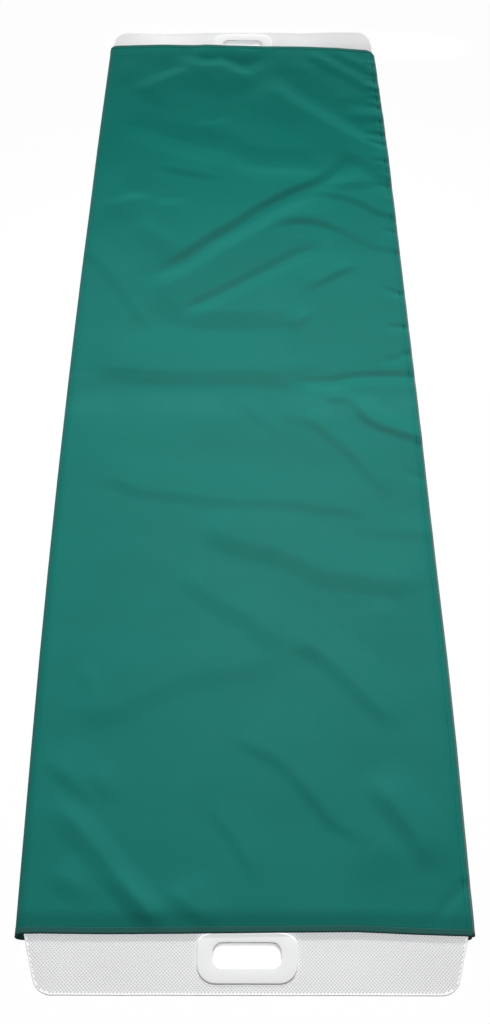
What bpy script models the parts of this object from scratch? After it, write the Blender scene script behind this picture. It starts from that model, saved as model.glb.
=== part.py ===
"""Folding transfer board.

Two stiff plastic half boards, each between two foam pads, are joined by a fabric hinge tape on
top of the pads and fold face to face. A loose nylon cover runs round both halves, so that a
patient rides across on it. Each board runs out of the cover as a tab with a moulded hand grip.

X runs across the board, with the cover's sewn side at +X. Y runs along it, with the near half at
-Y and the far half at +Y. Z is up, and the cover lies on Z = 0. All sizes are in metres.
"""

import math

import bmesh
import bpy
from mathutils import Vector
from mathutils.geometry import delaunay_2d_cdt

# Gap that neighbouring pieces keep
FIT = 0.0003

# Half boards: stiff white plastic sheet, tapered and rounded where it shows
BOARD_WIDTH = 0.483
BOARD_LENGTH = 0.875
BOARD_THICKNESS = 0.0025
BOARD_BUTT_GAP = 0.002
TAB_TAPER = 0.016
TAB_TAPER_LENGTH = 0.050
TAB_CORNER = 0.022

# Hand grip: a moulded collar above and below the board, round one slot
SLOT_WIDTH = 0.075
SLOT_DEPTH = 0.028
SLOT_CORNER = 0.011
GRIP_BORDER = 0.015
GRIP_CORNER = 0.019
GRIP_THICKNESS = 0.0032
GRIP_EDGE = 0.0012
GRIP_SETBACK = 0.0115
BARREL_WALL = 0.0018

# Foam pads above and below each board
PAD_THICKNESS = 0.007
PAD_INSET = 0.008
PAD_EDGE = 0.006
PAD_GRIP_GAP = 0.0085
PAD_VALLEY = 0.008

# Hinge tape: a leaf bonded on the top pad of each half
TAPE_INSET = 0.022
TAPE_LEAF = 0.110
TAPE_THICKNESS = 0.0005

# Cover: a loose nylon tube, open at both ends
COVER_WALL = 0.0008
COVER_EASE = 0.0004
COVER_OVERHANG = 0.018
COVER_FOLDED_SIDE = 0.0097
COVER_SEAM_SIDE = 0.003
FOLDED_SIDE_ROUND = 0.026
SEAM_SIDE_ROUND = 0.018
MOUTH_LIFT = 0.0008
MOUTH_FLOOR_GAP = 0.0004

# Cover at the fold: it sinks into the valley between the pads
FOLD_GAP = 0.0003
FOLD_DIP = 0.002
FOLD_DIP_REACH = 0.0075
FOLD_CLEARANCE = 0.0003

# Bindings: fabric tape folded over the cover's mouths and its side seam
BINDING_THICKNESS = 0.0005
MOUTH_BINDING = 0.007
SEAM_OVERHANG = 0.0065
SEAM_FIN = 0.001
SEAM_TOP_LEG = 0.0085
SEAM_LOW_LEG = 0.0052
SEAM_ANGLE = math.radians(44)
SEAM_TILT = math.radians(12)

# Main folds of the cloth: the points that each runs through, its half width and its height
CREASE_LIMIT = 0.0025
CREASES = [
    ([(0.04, 0.72), (0.12, 0.64), (0.22, 0.54)], 0.020, 0.0025),
    ([(0.18, 0.48), (0.03, 0.36), (-0.14, 0.19)], 0.024, 0.0025),
    ([(0.06, 0.33), (0.13, 0.33), (0.21, 0.27)], 0.018, 0.0020),
    ([(-0.06, 0.16), (0.04, 0.23), (0.12, 0.28)], 0.018, 0.0018),
    ([(-0.21, 0.21), (-0.14, 0.12), (-0.06, 0.10), (0.08, 0.12)], 0.020, 0.0018),
    ([(-0.16, 0.70), (-0.11, 0.76), (-0.03, 0.77), (0.03, 0.73)], 0.016, 0.0018),
    ([(-0.21, 0.60), (-0.13, 0.57), (-0.02, 0.50)], 0.026, 0.0015),
    ([(0.16, -0.06), (0.19, -0.10), (0.22, -0.11)], 0.015, 0.0022),
    ([(0.06, -0.06), (0.13, -0.12), (0.18, -0.20)], 0.018, 0.0016),
    ([(-0.17, -0.21), (0.00, -0.24), (0.20, -0.26)], 0.024, 0.0018),
    ([(-0.04, -0.28), (0.09, -0.35), (0.21, -0.38)], 0.022, 0.0018),
    ([(-0.18, -0.55), (-0.04, -0.50), (0.08, -0.46), (0.13, -0.52), (0.20, -0.58)], 0.022, 0.0020),
    ([(-0.01, -0.58), (0.08, -0.67), (0.15, -0.75)], 0.018, 0.0020),
    ([(-0.21, -0.62), (-0.17, -0.71), (-0.10, -0.78)], 0.024, 0.0025),
    ([(0.15, -0.65), (0.19, -0.70), (0.20, -0.76)], 0.018, 0.0016),
]
CREASE_MARGIN = 0.004

# Heights of the layers, from the floor up
LOW_PAD_Z = COVER_WALL + FIT
BOARD_Z = LOW_PAD_Z + PAD_THICKNESS + FIT
BOARD_TOP_Z = BOARD_Z + BOARD_THICKNESS
TOP_PAD_Z = BOARD_TOP_Z + FIT
TAPE_Z = TOP_PAD_Z + PAD_THICKNESS + FIT
COVER_INSIDE_Z = TAPE_Z + TAPE_THICKNESS + FIT
COVER_TOP_Z = COVER_INSIDE_Z + COVER_WALL + COVER_EASE
MID_Z = BOARD_Z + BOARD_THICKNESS / 2
GRIP_TOP_Z = BOARD_TOP_Z + FIT + GRIP_THICKNESS
FOLD_Z = COVER_TOP_Z + CREASE_LIMIT + FOLD_CLEARANCE

# Places across the board: the mouth bindings and the seam binding stand out equally far
CORE_X = (COVER_FOLDED_SIDE + FIT + BINDING_THICKNESS - SEAM_OVERHANG) / 2
CORE_LEFT = CORE_X - BOARD_WIDTH / 2
CORE_RIGHT = CORE_X + BOARD_WIDTH / 2
COVER_LEFT = CORE_LEFT - COVER_FOLDED_SIDE
COVER_RIGHT = CORE_RIGHT + COVER_SEAM_SIDE
SEAM_EDGE = CORE_RIGHT + SEAM_OVERHANG

COVER_FLAT = (COVER_LEFT + FOLDED_SIDE_ROUND, COVER_RIGHT - SEAM_SIDE_ROUND)

# Places along each half, as distances from the fold line
GRIP_WIDTH = SLOT_WIDTH + 2 * GRIP_BORDER
GRIP_DEPTH = SLOT_DEPTH + 2 * GRIP_BORDER
GRIP_Y = BOARD_LENGTH - GRIP_SETBACK - GRIP_DEPTH / 2
PAD_END = BOARD_LENGTH - GRIP_SETBACK - GRIP_DEPTH - PAD_GRIP_GAP
MOUTH_Y = PAD_END + COVER_OVERHANG
MOUTH_BINDING_Y = MOUTH_Y - MOUTH_BINDING
MOUTH_INSIDE_Z = GRIP_TOP_Z + FIT + BINDING_THICKNESS + MOUTH_LIFT

HALVES = {"near": -1, "far": 1}

# How finely the cover is drawn
SIDE_STEPS = 5
LONG_STEPS = 12
TOP_COLUMNS = 6
CREASE_STEPS = 4


def clear_scene():
    for obj in list(bpy.data.objects):
        bpy.data.objects.remove(obj, do_unlink=True)


def material(name, colour, roughness):
    """A plain finish: colour is linear red, green and blue."""
    made = bpy.data.materials.new(name)
    made.use_nodes = True
    shader = made.node_tree.nodes["Principled BSDF"]
    shader.inputs["Base Color"].default_value = (*colour, 1)
    shader.inputs["Roughness"].default_value = roughness
    shader.inputs["Metallic"].default_value = 0
    made.diffuse_color = (*colour, 1)
    return made


def finish(name, bm, paint, parent=None):
    """Turns the mesh's faces outwards and makes it a named object."""
    bmesh.ops.recalc_face_normals(bm, faces=bm.faces)
    mesh = bpy.data.meshes.new(name)
    bm.to_mesh(mesh)
    bm.free()
    mesh.shade_smooth()
    mesh.set_sharp_from_angle(angle=math.radians(35))
    obj = bpy.data.objects.new(name, mesh)
    obj.data.materials.append(paint)
    bpy.context.scene.collection.objects.link(obj)
    if parent:
        obj.parent = parent
        obj.matrix_parent_inverse = parent.matrix_world.inverted()
    return obj


def combine(obj, helper, operation):
    """Joins or cuts a piece with a hidden helper object."""
    helper.hide_render = True
    helper.display_type = "WIRE"
    change = obj.modifiers.new(operation.title(), "BOOLEAN")
    change.operation = operation
    change.object = helper
    change.solver = "EXACT"


def add_line(bm, points, closed=True):
    """Draws a line through the points and returns its corners and edges."""
    corners = [bm.verts.new(point) for point in points]
    start = 0 if closed else 1
    return corners, [bm.edges.new((corners[i - 1], corners[i])) for i in range(start, len(corners))]


def extrude_through(bm, sections, closed=True):
    """Extrudes a line from each section to the next and returns its first and last edges."""
    line, edges = add_line(bm, sections[0], closed)
    first = edges
    for section in sections[1:]:
        grown = bmesh.ops.extrude_edge_only(bm, edges=edges)["geom"]
        fresh = {item for item in grown if isinstance(item, bmesh.types.BMVert)}
        edges = [item for item in grown if isinstance(item, bmesh.types.BMEdge)]
        edges = [edge for edge in edges if fresh.issuperset(edge.verts)]
        neighbours = [[edge.other_vert(vert) for edge in vert.link_edges] for vert in line]
        line = [next(vert for vert in near if vert in fresh) for near in neighbours]
        for vert, point in zip(line, section):
            vert.co = point
    return first, edges


def loft(bm, sections):
    """Makes one body through closed sections and caps its two ends."""
    for rim in extrude_through(bm, sections):
        bmesh.ops.edgeloop_fill(bm, edges=rim)


def loft_ring(bm, sections):
    """Makes a ring whose last section meets its first."""
    extrude_through(bm, sections + sections[:1])
    bmesh.ops.remove_doubles(bm, verts=bm.verts, dist=FIT / 100)


def slot_outline(outward, side, z, steps=5):
    """Points round the hand slot, at one distance outside it and one height."""
    width = SLOT_WIDTH + 2 * outward
    depth = SLOT_DEPTH + 2 * outward
    corner = SLOT_CORNER + outward / GRIP_BORDER * (GRIP_CORNER - SLOT_CORNER)
    y = side * GRIP_Y
    points = []
    for quarter in range(4):
        across = 1 if quarter in (0, 3) else -1
        along = 1 if quarter in (0, 1) else -1
        middle = Vector((CORE_X + across * (width / 2 - corner), y + along * (depth / 2 - corner), z))
        for step in range(steps + 1):
            angle = math.radians(90) * (quarter + step / steps)
            points.append(middle + corner * Vector((math.cos(angle), math.sin(angle), 0)))
    return points


def smooth_step(value):
    """Eases from 0 to 1 as the value goes from 0 to 1."""
    value = min(max(value, 0), 1)
    return value * value * (3 - 2 * value)


def fold_dip(y):
    """How far cloth sinks into the valley at a distance from the fold line."""
    return FOLD_DIP * math.exp(-((y / FOLD_DIP_REACH) ** 2))


def mouth_share(y):
    """0 over the pads, 1 at the cover's mouth."""
    start = PAD_END - PAD_EDGE
    return smooth_step((y - start) / (MOUTH_Y - start))


def cover_top(y):
    """Height of the cover's outer face over the middle of the core."""
    at_mouth = MOUTH_INSIDE_Z + COVER_WALL
    return COVER_TOP_Z - (COVER_TOP_Z - at_mouth) * mouth_share(y) - fold_dip(y)


def cover_bottom(y):
    """Height of the cover's underside: the mouth binding below it hangs just off the floor."""
    lift = smooth_step((y - PAD_END) / (MOUTH_BINDING_Y - PAD_END))
    return (BINDING_THICKNESS + FIT + MOUTH_FLOOR_GAP) * lift


def curve_through(points, steps):
    """Points along a smooth curve through the given ones."""
    known = [Vector(point) for point in points]
    known = [2 * known[0] - known[1]] + known + [2 * known[-1] - known[-2]]
    curve = []
    for before, start, end, after in zip(known, known[1:], known[2:], known[3:]):
        for step in range(steps):
            share = step / steps
            pull = (end - before) * share + (2 * before - 5 * start + 4 * end - after) * share**2
            pull += (3 * start - before - 3 * end + after) * share**3
            curve.append(start + pull / 2)
    return curve + [known[-2]]


CREASE_CURVES = [
    (curve_through(points, CREASE_STEPS), half_width, height)
    for points, half_width, height in CREASES
]


def crease_height(x, y):
    """Height of the cloth's folds above its smooth top, largest on each fold's middle line."""
    place = Vector((x, y))
    highest = 0
    for curve, half_width, height in CREASE_CURVES:
        runs = len(curve) - 1
        for index in range(runs):
            start, run = curve[index], curve[index + 1] - curve[index]
            share = min(max((place - start).dot(run) / run.length_squared, 0), 1)
            away = (place - start - share * run).length / half_width
            if away < 1:
                along = math.sin(math.pi * (index + share) / runs) ** 0.7
                highest = max(highest, height * along * (1 + math.cos(math.pi * away)) / 2)
    return min(highest, CREASE_LIMIT)


def crease_lines(side):
    """Lines on each fold of one half: its middle, its two shoulders and its two feet."""
    low_x, high_x = (COVER_FLAT[0] + CREASE_MARGIN, COVER_FLAT[1] - CREASE_MARGIN)
    low_y, high_y = (3 * FOLD_DIP_REACH + CREASE_MARGIN, PAD_END - PAD_EDGE - CREASE_MARGIN)
    lines = []
    for curve, half_width, _ in CREASE_CURVES:
        if side * curve[0].y < 0:
            continue
        for offset in (-1, -0.5, 0, 0.5, 1):
            line = []
            for index, point in enumerate(curve):
                run = curve[min(index + 1, len(curve) - 1)] - curve[max(index - 1, 0)]
                across = Vector((-run.y, run.x)).normalized()
                x, y = point + offset * half_width * across
                y = side * min(max(side * y, low_y), high_y)
                line.append(Vector((min(max(x, low_x), high_x), y)))
            lines.append(line)
    return lines


def section_point(angle, right, y, outward, inside):
    """A point on the cover's rounded side: 90 degrees is on top, -90 below."""
    round_width = SEAM_SIDE_ROUND if right else FOLDED_SIDE_ROUND
    middle = COVER_RIGHT - round_width if right else COVER_LEFT + round_width
    grow = outward - (COVER_WALL if inside else 0)
    ease = COVER_EASE * (1 - mouth_share(y)) if inside else 0
    up = cover_top(y) + grow - ease - MID_Z
    down = MID_Z - cover_bottom(y) + grow
    reach = math.cos(angle) * (round_width + grow)
    height = math.sin(angle) * (up if angle > 0 else down)
    return middle + (reach if right else -reach), MID_Z + height


def cover_wrap(y, outward=0, inside=False):
    """Points of the cover across one section, all but its flat top.

    They run from the seam side's top down, across the bottom and up the folded side.
    """
    quarter = math.radians(90) / SIDE_STEPS
    angles = [quarter * step for step in range(SIDE_STEPS, -SIDE_STEPS - 1, -1)]
    seam_side = [section_point(angle, True, y, outward, inside) for angle in angles]
    folded_side = [section_point(angle, False, y, outward, inside) for angle in reversed(angles)]
    return seam_side + folded_side


def cover_section(y, side, outward=0, inside=False):
    """The wrap as points in space. Its first and last points are the ends of the flat top."""
    return [Vector((x, side * y, z)) for x, z in cover_wrap(y, outward, inside)]


def cover_stations(first, last, long_steps=1):
    """Distances from the fold at which the cover is drawn, closer where it bends."""
    bends = [first, FOLD_DIP_REACH, 2 * FOLD_DIP_REACH, 3 * FOLD_DIP_REACH]
    flat_end = PAD_END - PAD_EDGE
    run = flat_end - bends[-1]
    flat = [bends[-1] + run * step / long_steps for step in range(1, long_steps)]
    slope_steps = 3
    run = MOUTH_BINDING_Y - flat_end
    slope = [flat_end + run * step / slope_steps for step in range(slope_steps + 1)]
    return bends + flat + slope + [last]


def add_creased_top(bm, stations, side):
    """Spans the flat top with triangles that follow the folds of the cloth."""
    left, right = COVER_FLAT
    columns = [left + (right - left) * column / TOP_COLUMNS for column in range(TOP_COLUMNS + 1)]
    first, last = side * stations[0], side * stations[-1]
    places = [Vector((right, side * y)) for y in stations]
    places += [Vector((left, side * y)) for y in reversed(stations)]
    edges = [(index - 1, index) for index in range(1, len(places))] + [(len(places) - 1, 0)]
    for line in crease_lines(side):
        edges += [(len(places) + step, len(places) + step + 1) for step in range(len(line) - 1)]
        places += line
    for y in stations[1:-1]:
        flat = 3 * FOLD_DIP_REACH < y < PAD_END - PAD_EDGE
        row = [Vector((x, side * y)) for x in columns[1:-1]]
        if flat:
            row = [place for place in row if crease_height(*place) == 0]
        places += row
    spots, _, triangles, *_ = delaunay_2d_cdt(places, edges, [], 1, FIT / 100)
    corners = []
    for x, y in spots:
        inner = min(x - left, right - x, abs(y - first), abs(y - last)) > FIT
        rise = crease_height(x, y) if inner else 0
        corners.append(bm.verts.new((x, y, cover_top(abs(y)) + rise)))
    for triangle in triangles:
        bm.faces.new([corners[index] for index in triangle])


def make_board(half, side, paint, parent):
    """The plastic sheet of one half, with its tab and the hole for the grip."""
    bm = bmesh.new()
    taper_y = BOARD_LENGTH - TAB_TAPER_LENGTH
    outline = [
        (CORE_LEFT, BOARD_BUTT_GAP / 2),
        (CORE_LEFT, taper_y),
        (CORE_LEFT + TAB_TAPER, BOARD_LENGTH),
        (CORE_RIGHT - TAB_TAPER, BOARD_LENGTH),
        (CORE_RIGHT, taper_y),
        (CORE_RIGHT, BOARD_BUTT_GAP / 2),
    ]
    sheet = bm.faces.new([bm.verts.new((x, side * y, BOARD_Z)) for x, y in outline])
    corners = [v for v in sheet.verts if abs(v.co.y) > BOARD_LENGTH - FIT]
    bmesh.ops.bevel(
        bm, geom=corners, offset=TAB_CORNER, segments=6, profile=0.5, affect="VERTICES", material=-1
    )
    bmesh.ops.delete(bm, geom=bm.faces[:], context="FACES_ONLY")
    add_line(bm, slot_outline(BARREL_WALL + FIT, side, BOARD_Z))
    bmesh.ops.triangle_fill(bm, use_beauty=True, edges=bm.edges)
    grown = bmesh.ops.extrude_face_region(bm, geom=bm.faces[:])
    raised = [item for item in grown["geom"] if isinstance(item, bmesh.types.BMVert)]
    bmesh.ops.translate(bm, verts=raised, vec=(0, 0, BOARD_THICKNESS))
    return finish(f"{half}_board", bm, paint, parent)


def make_ring(name, side, profile, paint, parent):
    """A moulded ring round the hand slot.

    The profile lists, round the ring's cross-section, how far each point stands out from the slot
    and how high it is.
    """
    bm = bmesh.new()
    loft_ring(bm, [slot_outline(outward, side, z) for outward, z in profile])
    return finish(name, bm, paint, parent)


def make_grip(half, side, paint, parent):
    """The top collar carries the barrel through the board, and the low collar snaps round it."""
    seat = BOARD_TOP_Z + FIT
    low_seat = BOARD_Z - FIT
    low_z = low_seat - GRIP_THICKNESS
    barrel = BARREL_WALL
    ring = barrel + FIT
    crown = GRIP_TOP_Z - GRIP_EDGE
    top_profile = [
        (0, low_z),
        (barrel, low_z),
        (barrel, seat),
        (GRIP_BORDER, seat),
        (GRIP_BORDER, crown),
        (GRIP_BORDER - GRIP_EDGE / 3, GRIP_TOP_Z - GRIP_EDGE / 3),
        (GRIP_BORDER - GRIP_EDGE, GRIP_TOP_Z),
        (GRIP_EDGE, GRIP_TOP_Z),
        (GRIP_EDGE / 3, GRIP_TOP_Z - GRIP_EDGE / 3),
        (0, crown),
    ]
    low_profile = [
        (ring, low_z),
        (ring, low_seat),
        (GRIP_BORDER, low_seat),
        (GRIP_BORDER, low_z + GRIP_EDGE),
        (GRIP_BORDER - GRIP_EDGE / 3, low_z + GRIP_EDGE / 3),
        (GRIP_BORDER - GRIP_EDGE, low_z),
    ]
    make_ring(f"{half}_grip_top", side, top_profile, paint, parent)
    make_ring(f"{half}_grip_bottom", side, low_profile, paint, parent)


def make_pad(half, side, upper, paint, parent):
    """A foam pad: its face away from the board has rounded edges."""
    name = f"{half}_pad_top" if upper else f"{half}_pad_bottom"
    start = PAD_VALLEY if upper else BOARD_BUTT_GAP / 2
    low = TOP_PAD_Z if upper else LOW_PAD_Z
    size = Vector((BOARD_WIDTH - 2 * PAD_INSET, PAD_END - start, PAD_THICKNESS))
    middle = Vector((CORE_X, side * (start + PAD_END) / 2, low + PAD_THICKNESS / 2))
    bm = bmesh.new()
    bmesh.ops.create_cube(bm, size=1)
    bmesh.ops.scale(bm, vec=size, verts=bm.verts)
    bmesh.ops.translate(bm, vec=middle, verts=bm.verts)
    outer = low + PAD_THICKNESS if upper else low
    crown = [e for e in bm.edges if all(abs(v.co.z - outer) < FIT / 10 for v in e.verts)]
    bmesh.ops.bevel(
        bm, geom=crown, offset=PAD_EDGE, segments=4, profile=0.5, affect="EDGES", material=-1
    )
    return finish(name, bm, paint, parent)


def make_hinge_leaf(half, side, paint, parent):
    """Half of the hinge tape: it dips into the valley at the fold line."""
    bm = bmesh.new()
    half_width = BOARD_WIDTH / 2 - TAPE_INSET
    steps = 6
    reach = 3 * FOLD_DIP_REACH
    stations = [FOLD_GAP / 2 + (reach - FOLD_GAP / 2) * step / steps for step in range(steps + 1)]
    sections = []
    for y in stations + [TAPE_LEAF]:
        low = TAPE_Z - fold_dip(y)
        high = low + TAPE_THICKNESS
        corners = ((-1, low), (1, low), (1, high), (-1, high))
        sections.append([(CORE_X + s * half_width, side * y, z) for s, z in corners])
    loft(bm, sections)
    return finish(f"{half}_hinge_leaf", bm, paint, parent)


def seam_section(y, side, layers):
    """Points of the seam's cross-section, given as distances out along it and up from its middle.

    The seam lies over the top edge of the cover and tilts down outwards.
    """
    root_x, root_z = section_point(SEAM_ANGLE, True, y, 0, False)
    out = Vector((math.cos(SEAM_TILT), 0, -math.sin(SEAM_TILT)))
    up = Vector((math.sin(SEAM_TILT), 0, math.cos(SEAM_TILT)))
    root = Vector((root_x, side * y, root_z))
    return [root + out * along + up * rise for along, rise in layers]


def seam_reach():
    """How far the binding's outer face lies from the seam's root, to end at the seam edge."""
    root_x, _ = section_point(SEAM_ANGLE, True, MOUTH_Y / 2, 0, False)
    half_depth = SEAM_FIN / 2 + FIT + BINDING_THICKNESS
    return (SEAM_EDGE - root_x - math.sin(SEAM_TILT) * half_depth) / math.cos(SEAM_TILT)


def make_cover(half, side, paint, parent):
    """One half of the cover: the outer form with its folds and seam, less the core's space."""
    edge = MOUTH_Y - BINDING_THICKNESS - FIT
    bm = bmesh.new()
    creased_stations = cover_stations(FOLD_GAP / 2, edge, LONG_STEPS)
    extrude_through(bm, [cover_section(y, side) for y in creased_stations], closed=False)
    add_creased_top(bm, creased_stations, side)
    bmesh.ops.remove_doubles(bm, verts=bm.verts, dist=FIT / 100)
    bmesh.ops.holes_fill(bm, edges=bm.edges, sides=0)
    cover = finish(f"{half}_cover", bm, paint, parent)

    fin = bmesh.new()
    stations = cover_stations(FOLD_GAP / 2, edge)
    tip = seam_reach() - BINDING_THICKNESS - FIT
    ends = (-COVER_WALL, tip, tip, -COVER_WALL)
    rises = (-SEAM_FIN / 2, -SEAM_FIN / 2, SEAM_FIN / 2, SEAM_FIN / 2)
    layers = list(zip(ends, rises))
    loft(fin, [seam_section(y, side, layers) for y in stations])
    combine(cover, finish(f"{half}_cover_fin", fin, paint, parent), "UNION")

    space = bmesh.new()
    past_fold = -MOUTH_BINDING
    past_mouth = MOUTH_Y + MOUTH_BINDING
    rows = [past_fold] + stations + [past_mouth]
    loft(space, [cover_section(y, side, inside=True) for y in rows])
    combine(cover, finish(f"{half}_cover_space", space, paint, parent), "DIFFERENCE")
    return cover


def make_mouth_binding(half, side, paint, parent):
    """Tape folded over the cover's mouth, from below the seam round to just above it."""
    above_seam = 2
    below_seam = 4
    over = FIT + BINDING_THICKNESS
    inner_edge = MOUTH_Y - BINDING_THICKNESS
    profile = [
        (MOUTH_BINDING_Y, over, False),
        (MOUTH_Y, over, False),
        (MOUTH_Y, -over, True),
        (MOUTH_BINDING_Y, -over, True),
        (MOUTH_BINDING_Y, -FIT, True),
        (inner_edge, -FIT, True),
        (inner_edge, FIT, False),
        (MOUTH_BINDING_Y, FIT, False),
    ]
    lines = []
    for y, outward, inside in profile:
        around = cover_section(y, side, outward, inside)
        lines.append(around[below_seam:] + around[: above_seam + 1])
    bm = bmesh.new()
    loft(bm, [list(section) for section in zip(*lines)])
    return finish(f"{half}_mouth_binding", bm, paint, parent)


def make_seam_binding(half, side, paint, parent):
    """Tape folded over the side seam, with its shorter leg underneath."""
    reach = seam_reach()
    inner = reach - BINDING_THICKNESS
    high = SEAM_FIN / 2 + FIT
    over = high + BINDING_THICKNESS
    layers = [
        (reach - SEAM_LOW_LEG, -over),
        (reach, -over),
        (reach, over),
        (reach - SEAM_TOP_LEG, over),
        (reach - SEAM_TOP_LEG, high),
        (inner, high),
        (inner, -high),
        (reach - SEAM_LOW_LEG, -high),
    ]
    bm = bmesh.new()
    stations = cover_stations(FOLD_GAP / 2, MOUTH_Y)
    loft(bm, [seam_section(y, side, layers) for y in stations])
    return finish(f"{half}_seam_binding", bm, paint, parent)


def make_half(half, side, paints, parent):
    """All the pieces that move together on one side of the fold."""
    make_board(half, side, paints["board"], parent)
    make_grip(half, side, paints["grip"], parent)
    for upper in (False, True):
        make_pad(half, side, upper, paints["foam"], parent)
    make_hinge_leaf(half, side, paints["tape"], parent)
    make_cover(half, side, paints["cover"], parent)
    make_mouth_binding(half, side, paints["binding"], parent)
    make_seam_binding(half, side, paints["binding"], parent)


def main():
    clear_scene()
    paints = {
        "board": material("embossed_board", (0.76, 0.77, 0.79), 0.5),
        "grip": material("grip_plastic", (0.80, 0.81, 0.82), 0.35),
        "foam": material("pad_foam", (0.60, 0.61, 0.62), 0.9),
        "tape": material("hinge_tape", (0.08, 0.10, 0.10), 0.8),
        "cover": material("cover_nylon", (0.013, 0.176, 0.148), 0.45),
        "binding": material("edge_binding", (0.045, 0.120, 0.105), 0.6),
    }
    fold = bpy.data.objects.new("fold_axis", None)
    fold.location = (0, 0, FOLD_Z)
    bpy.context.scene.collection.objects.link(fold)
    bpy.context.view_layer.update()
    for half, side in HALVES.items():
        make_half(half, side, paints, fold if half == "far" else None)


main()
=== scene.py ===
# %% [markdown]
# # A folding transfer board
# A transfer board bridges the gap between a bed and a trolley, so that a patient can be slid
# across. Two stiff plastic half boards lie between foam pads and fold face to face. A loose nylon
# cover runs round both of them, and at each end the bare board shows as a tab with a hand grip.
#
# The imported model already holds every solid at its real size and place. This lesson dresses it:
# it loads that model as a fixed frame, and each step then makes one real piece or one finish.

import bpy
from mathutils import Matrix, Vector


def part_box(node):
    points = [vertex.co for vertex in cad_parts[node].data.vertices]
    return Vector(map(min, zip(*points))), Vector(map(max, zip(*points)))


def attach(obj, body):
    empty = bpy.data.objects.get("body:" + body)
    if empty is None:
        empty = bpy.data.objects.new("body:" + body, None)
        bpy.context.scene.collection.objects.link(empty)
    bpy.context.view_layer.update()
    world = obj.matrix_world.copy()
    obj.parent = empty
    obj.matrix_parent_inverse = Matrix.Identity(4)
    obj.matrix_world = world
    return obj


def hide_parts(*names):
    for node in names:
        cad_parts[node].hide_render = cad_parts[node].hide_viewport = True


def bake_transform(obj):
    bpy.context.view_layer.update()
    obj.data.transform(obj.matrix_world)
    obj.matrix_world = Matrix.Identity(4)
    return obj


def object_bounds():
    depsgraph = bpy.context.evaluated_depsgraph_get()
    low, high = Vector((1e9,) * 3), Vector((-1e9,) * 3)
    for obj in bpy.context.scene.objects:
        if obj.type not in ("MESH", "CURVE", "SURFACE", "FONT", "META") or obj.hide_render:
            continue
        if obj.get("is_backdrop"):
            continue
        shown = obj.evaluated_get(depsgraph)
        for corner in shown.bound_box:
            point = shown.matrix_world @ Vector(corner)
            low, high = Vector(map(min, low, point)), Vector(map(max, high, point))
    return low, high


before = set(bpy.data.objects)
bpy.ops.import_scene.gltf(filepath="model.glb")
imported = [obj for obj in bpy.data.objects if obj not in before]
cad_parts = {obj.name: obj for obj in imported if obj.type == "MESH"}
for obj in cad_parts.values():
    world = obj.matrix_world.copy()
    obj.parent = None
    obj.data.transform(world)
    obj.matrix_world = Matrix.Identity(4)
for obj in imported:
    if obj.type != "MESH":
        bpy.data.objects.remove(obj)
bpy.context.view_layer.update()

# %% Tools for the lesson
import math

import bmesh
import bpy
import numpy as np
from mathutils import Matrix, Vector

# %% [markdown]
# ## Camera
# The photograph looks down on the board from its near end, a little left of its middle. A camera
# can be aimed with a Track To constraint, but the picture is also turned by two degrees, so the
# three axes are worked out from the pitch, the heading and the roll and written in its matrix.

# %% Make the camera
CAMERA_PLACE = Vector((-0.0293, -1.2360, 1.3559))
PITCH, HEADING, ROLL = (math.radians(angle) for angle in (53.59, 1.85, 2.02))
FOCAL_PIXELS, PICTURE_HEIGHT, SENSOR = 1235.8, 1024, 36.0

ahead = Vector((math.sin(HEADING) * math.cos(PITCH), math.cos(HEADING) * math.cos(PITCH), -math.sin(PITCH)))
level = Vector((math.cos(HEADING), -math.sin(HEADING), 0))
upward = level.cross(ahead)
right = level * math.cos(ROLL) + upward * math.sin(ROLL)
top = upward * math.cos(ROLL) - level * math.sin(ROLL)

camera = bpy.data.objects.new("camera", bpy.data.cameras.new("camera"))
camera.data.sensor_width = SENSOR
camera.data.lens = FOCAL_PIXELS * SENSOR / PICTURE_HEIGHT
camera.data.clip_start, camera.data.clip_end = 0.05, 60
turned = Matrix((right, top, -ahead)).transposed().to_4x4()
camera.matrix_world = Matrix.Translation(CAMERA_PLACE) @ turned
bpy.context.scene.collection.objects.link(camera)
bpy.context.scene.camera = camera
print("lens:", round(camera.data.lens, 2), "mm")

# %% [markdown]
# ## Shader maths
# A material is a net of nodes. Nodes can be added and linked one by one, but a formula is easier
# to read as Python. So a small class wraps one output socket, and its + - * operators add Math
# nodes. Another class holds one finish, and its single method adds any other node.

# %% Wrap a socket
class Wire:
    """A value on its way through a finish, which Python's operators work on."""

    def __init__(self, finish, socket):
        self.finish, self.socket = finish, socket

    def maths(self, operation, *values):
        return self.finish.node("Math", {"operation": operation}, dict(enumerate(values)))

    def __add__(self, other):
        return self.maths("ADD", self, other)

    def __sub__(self, other):
        return self.maths("SUBTRACT", self, other)

    def __rsub__(self, other):
        return self.maths("SUBTRACT", other, self)

    def __mul__(self, other):
        return self.maths("MULTIPLY", self, other)

    __radd__, __rmul__ = __add__, __mul__

    def sine(self):
        return self.maths("SINE", self)

    def size(self):
        return self.maths("ABSOLUTE", self)

    def clipped(self):
        return self.finish.node("Clamp", {}, {"Value": self})


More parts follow.
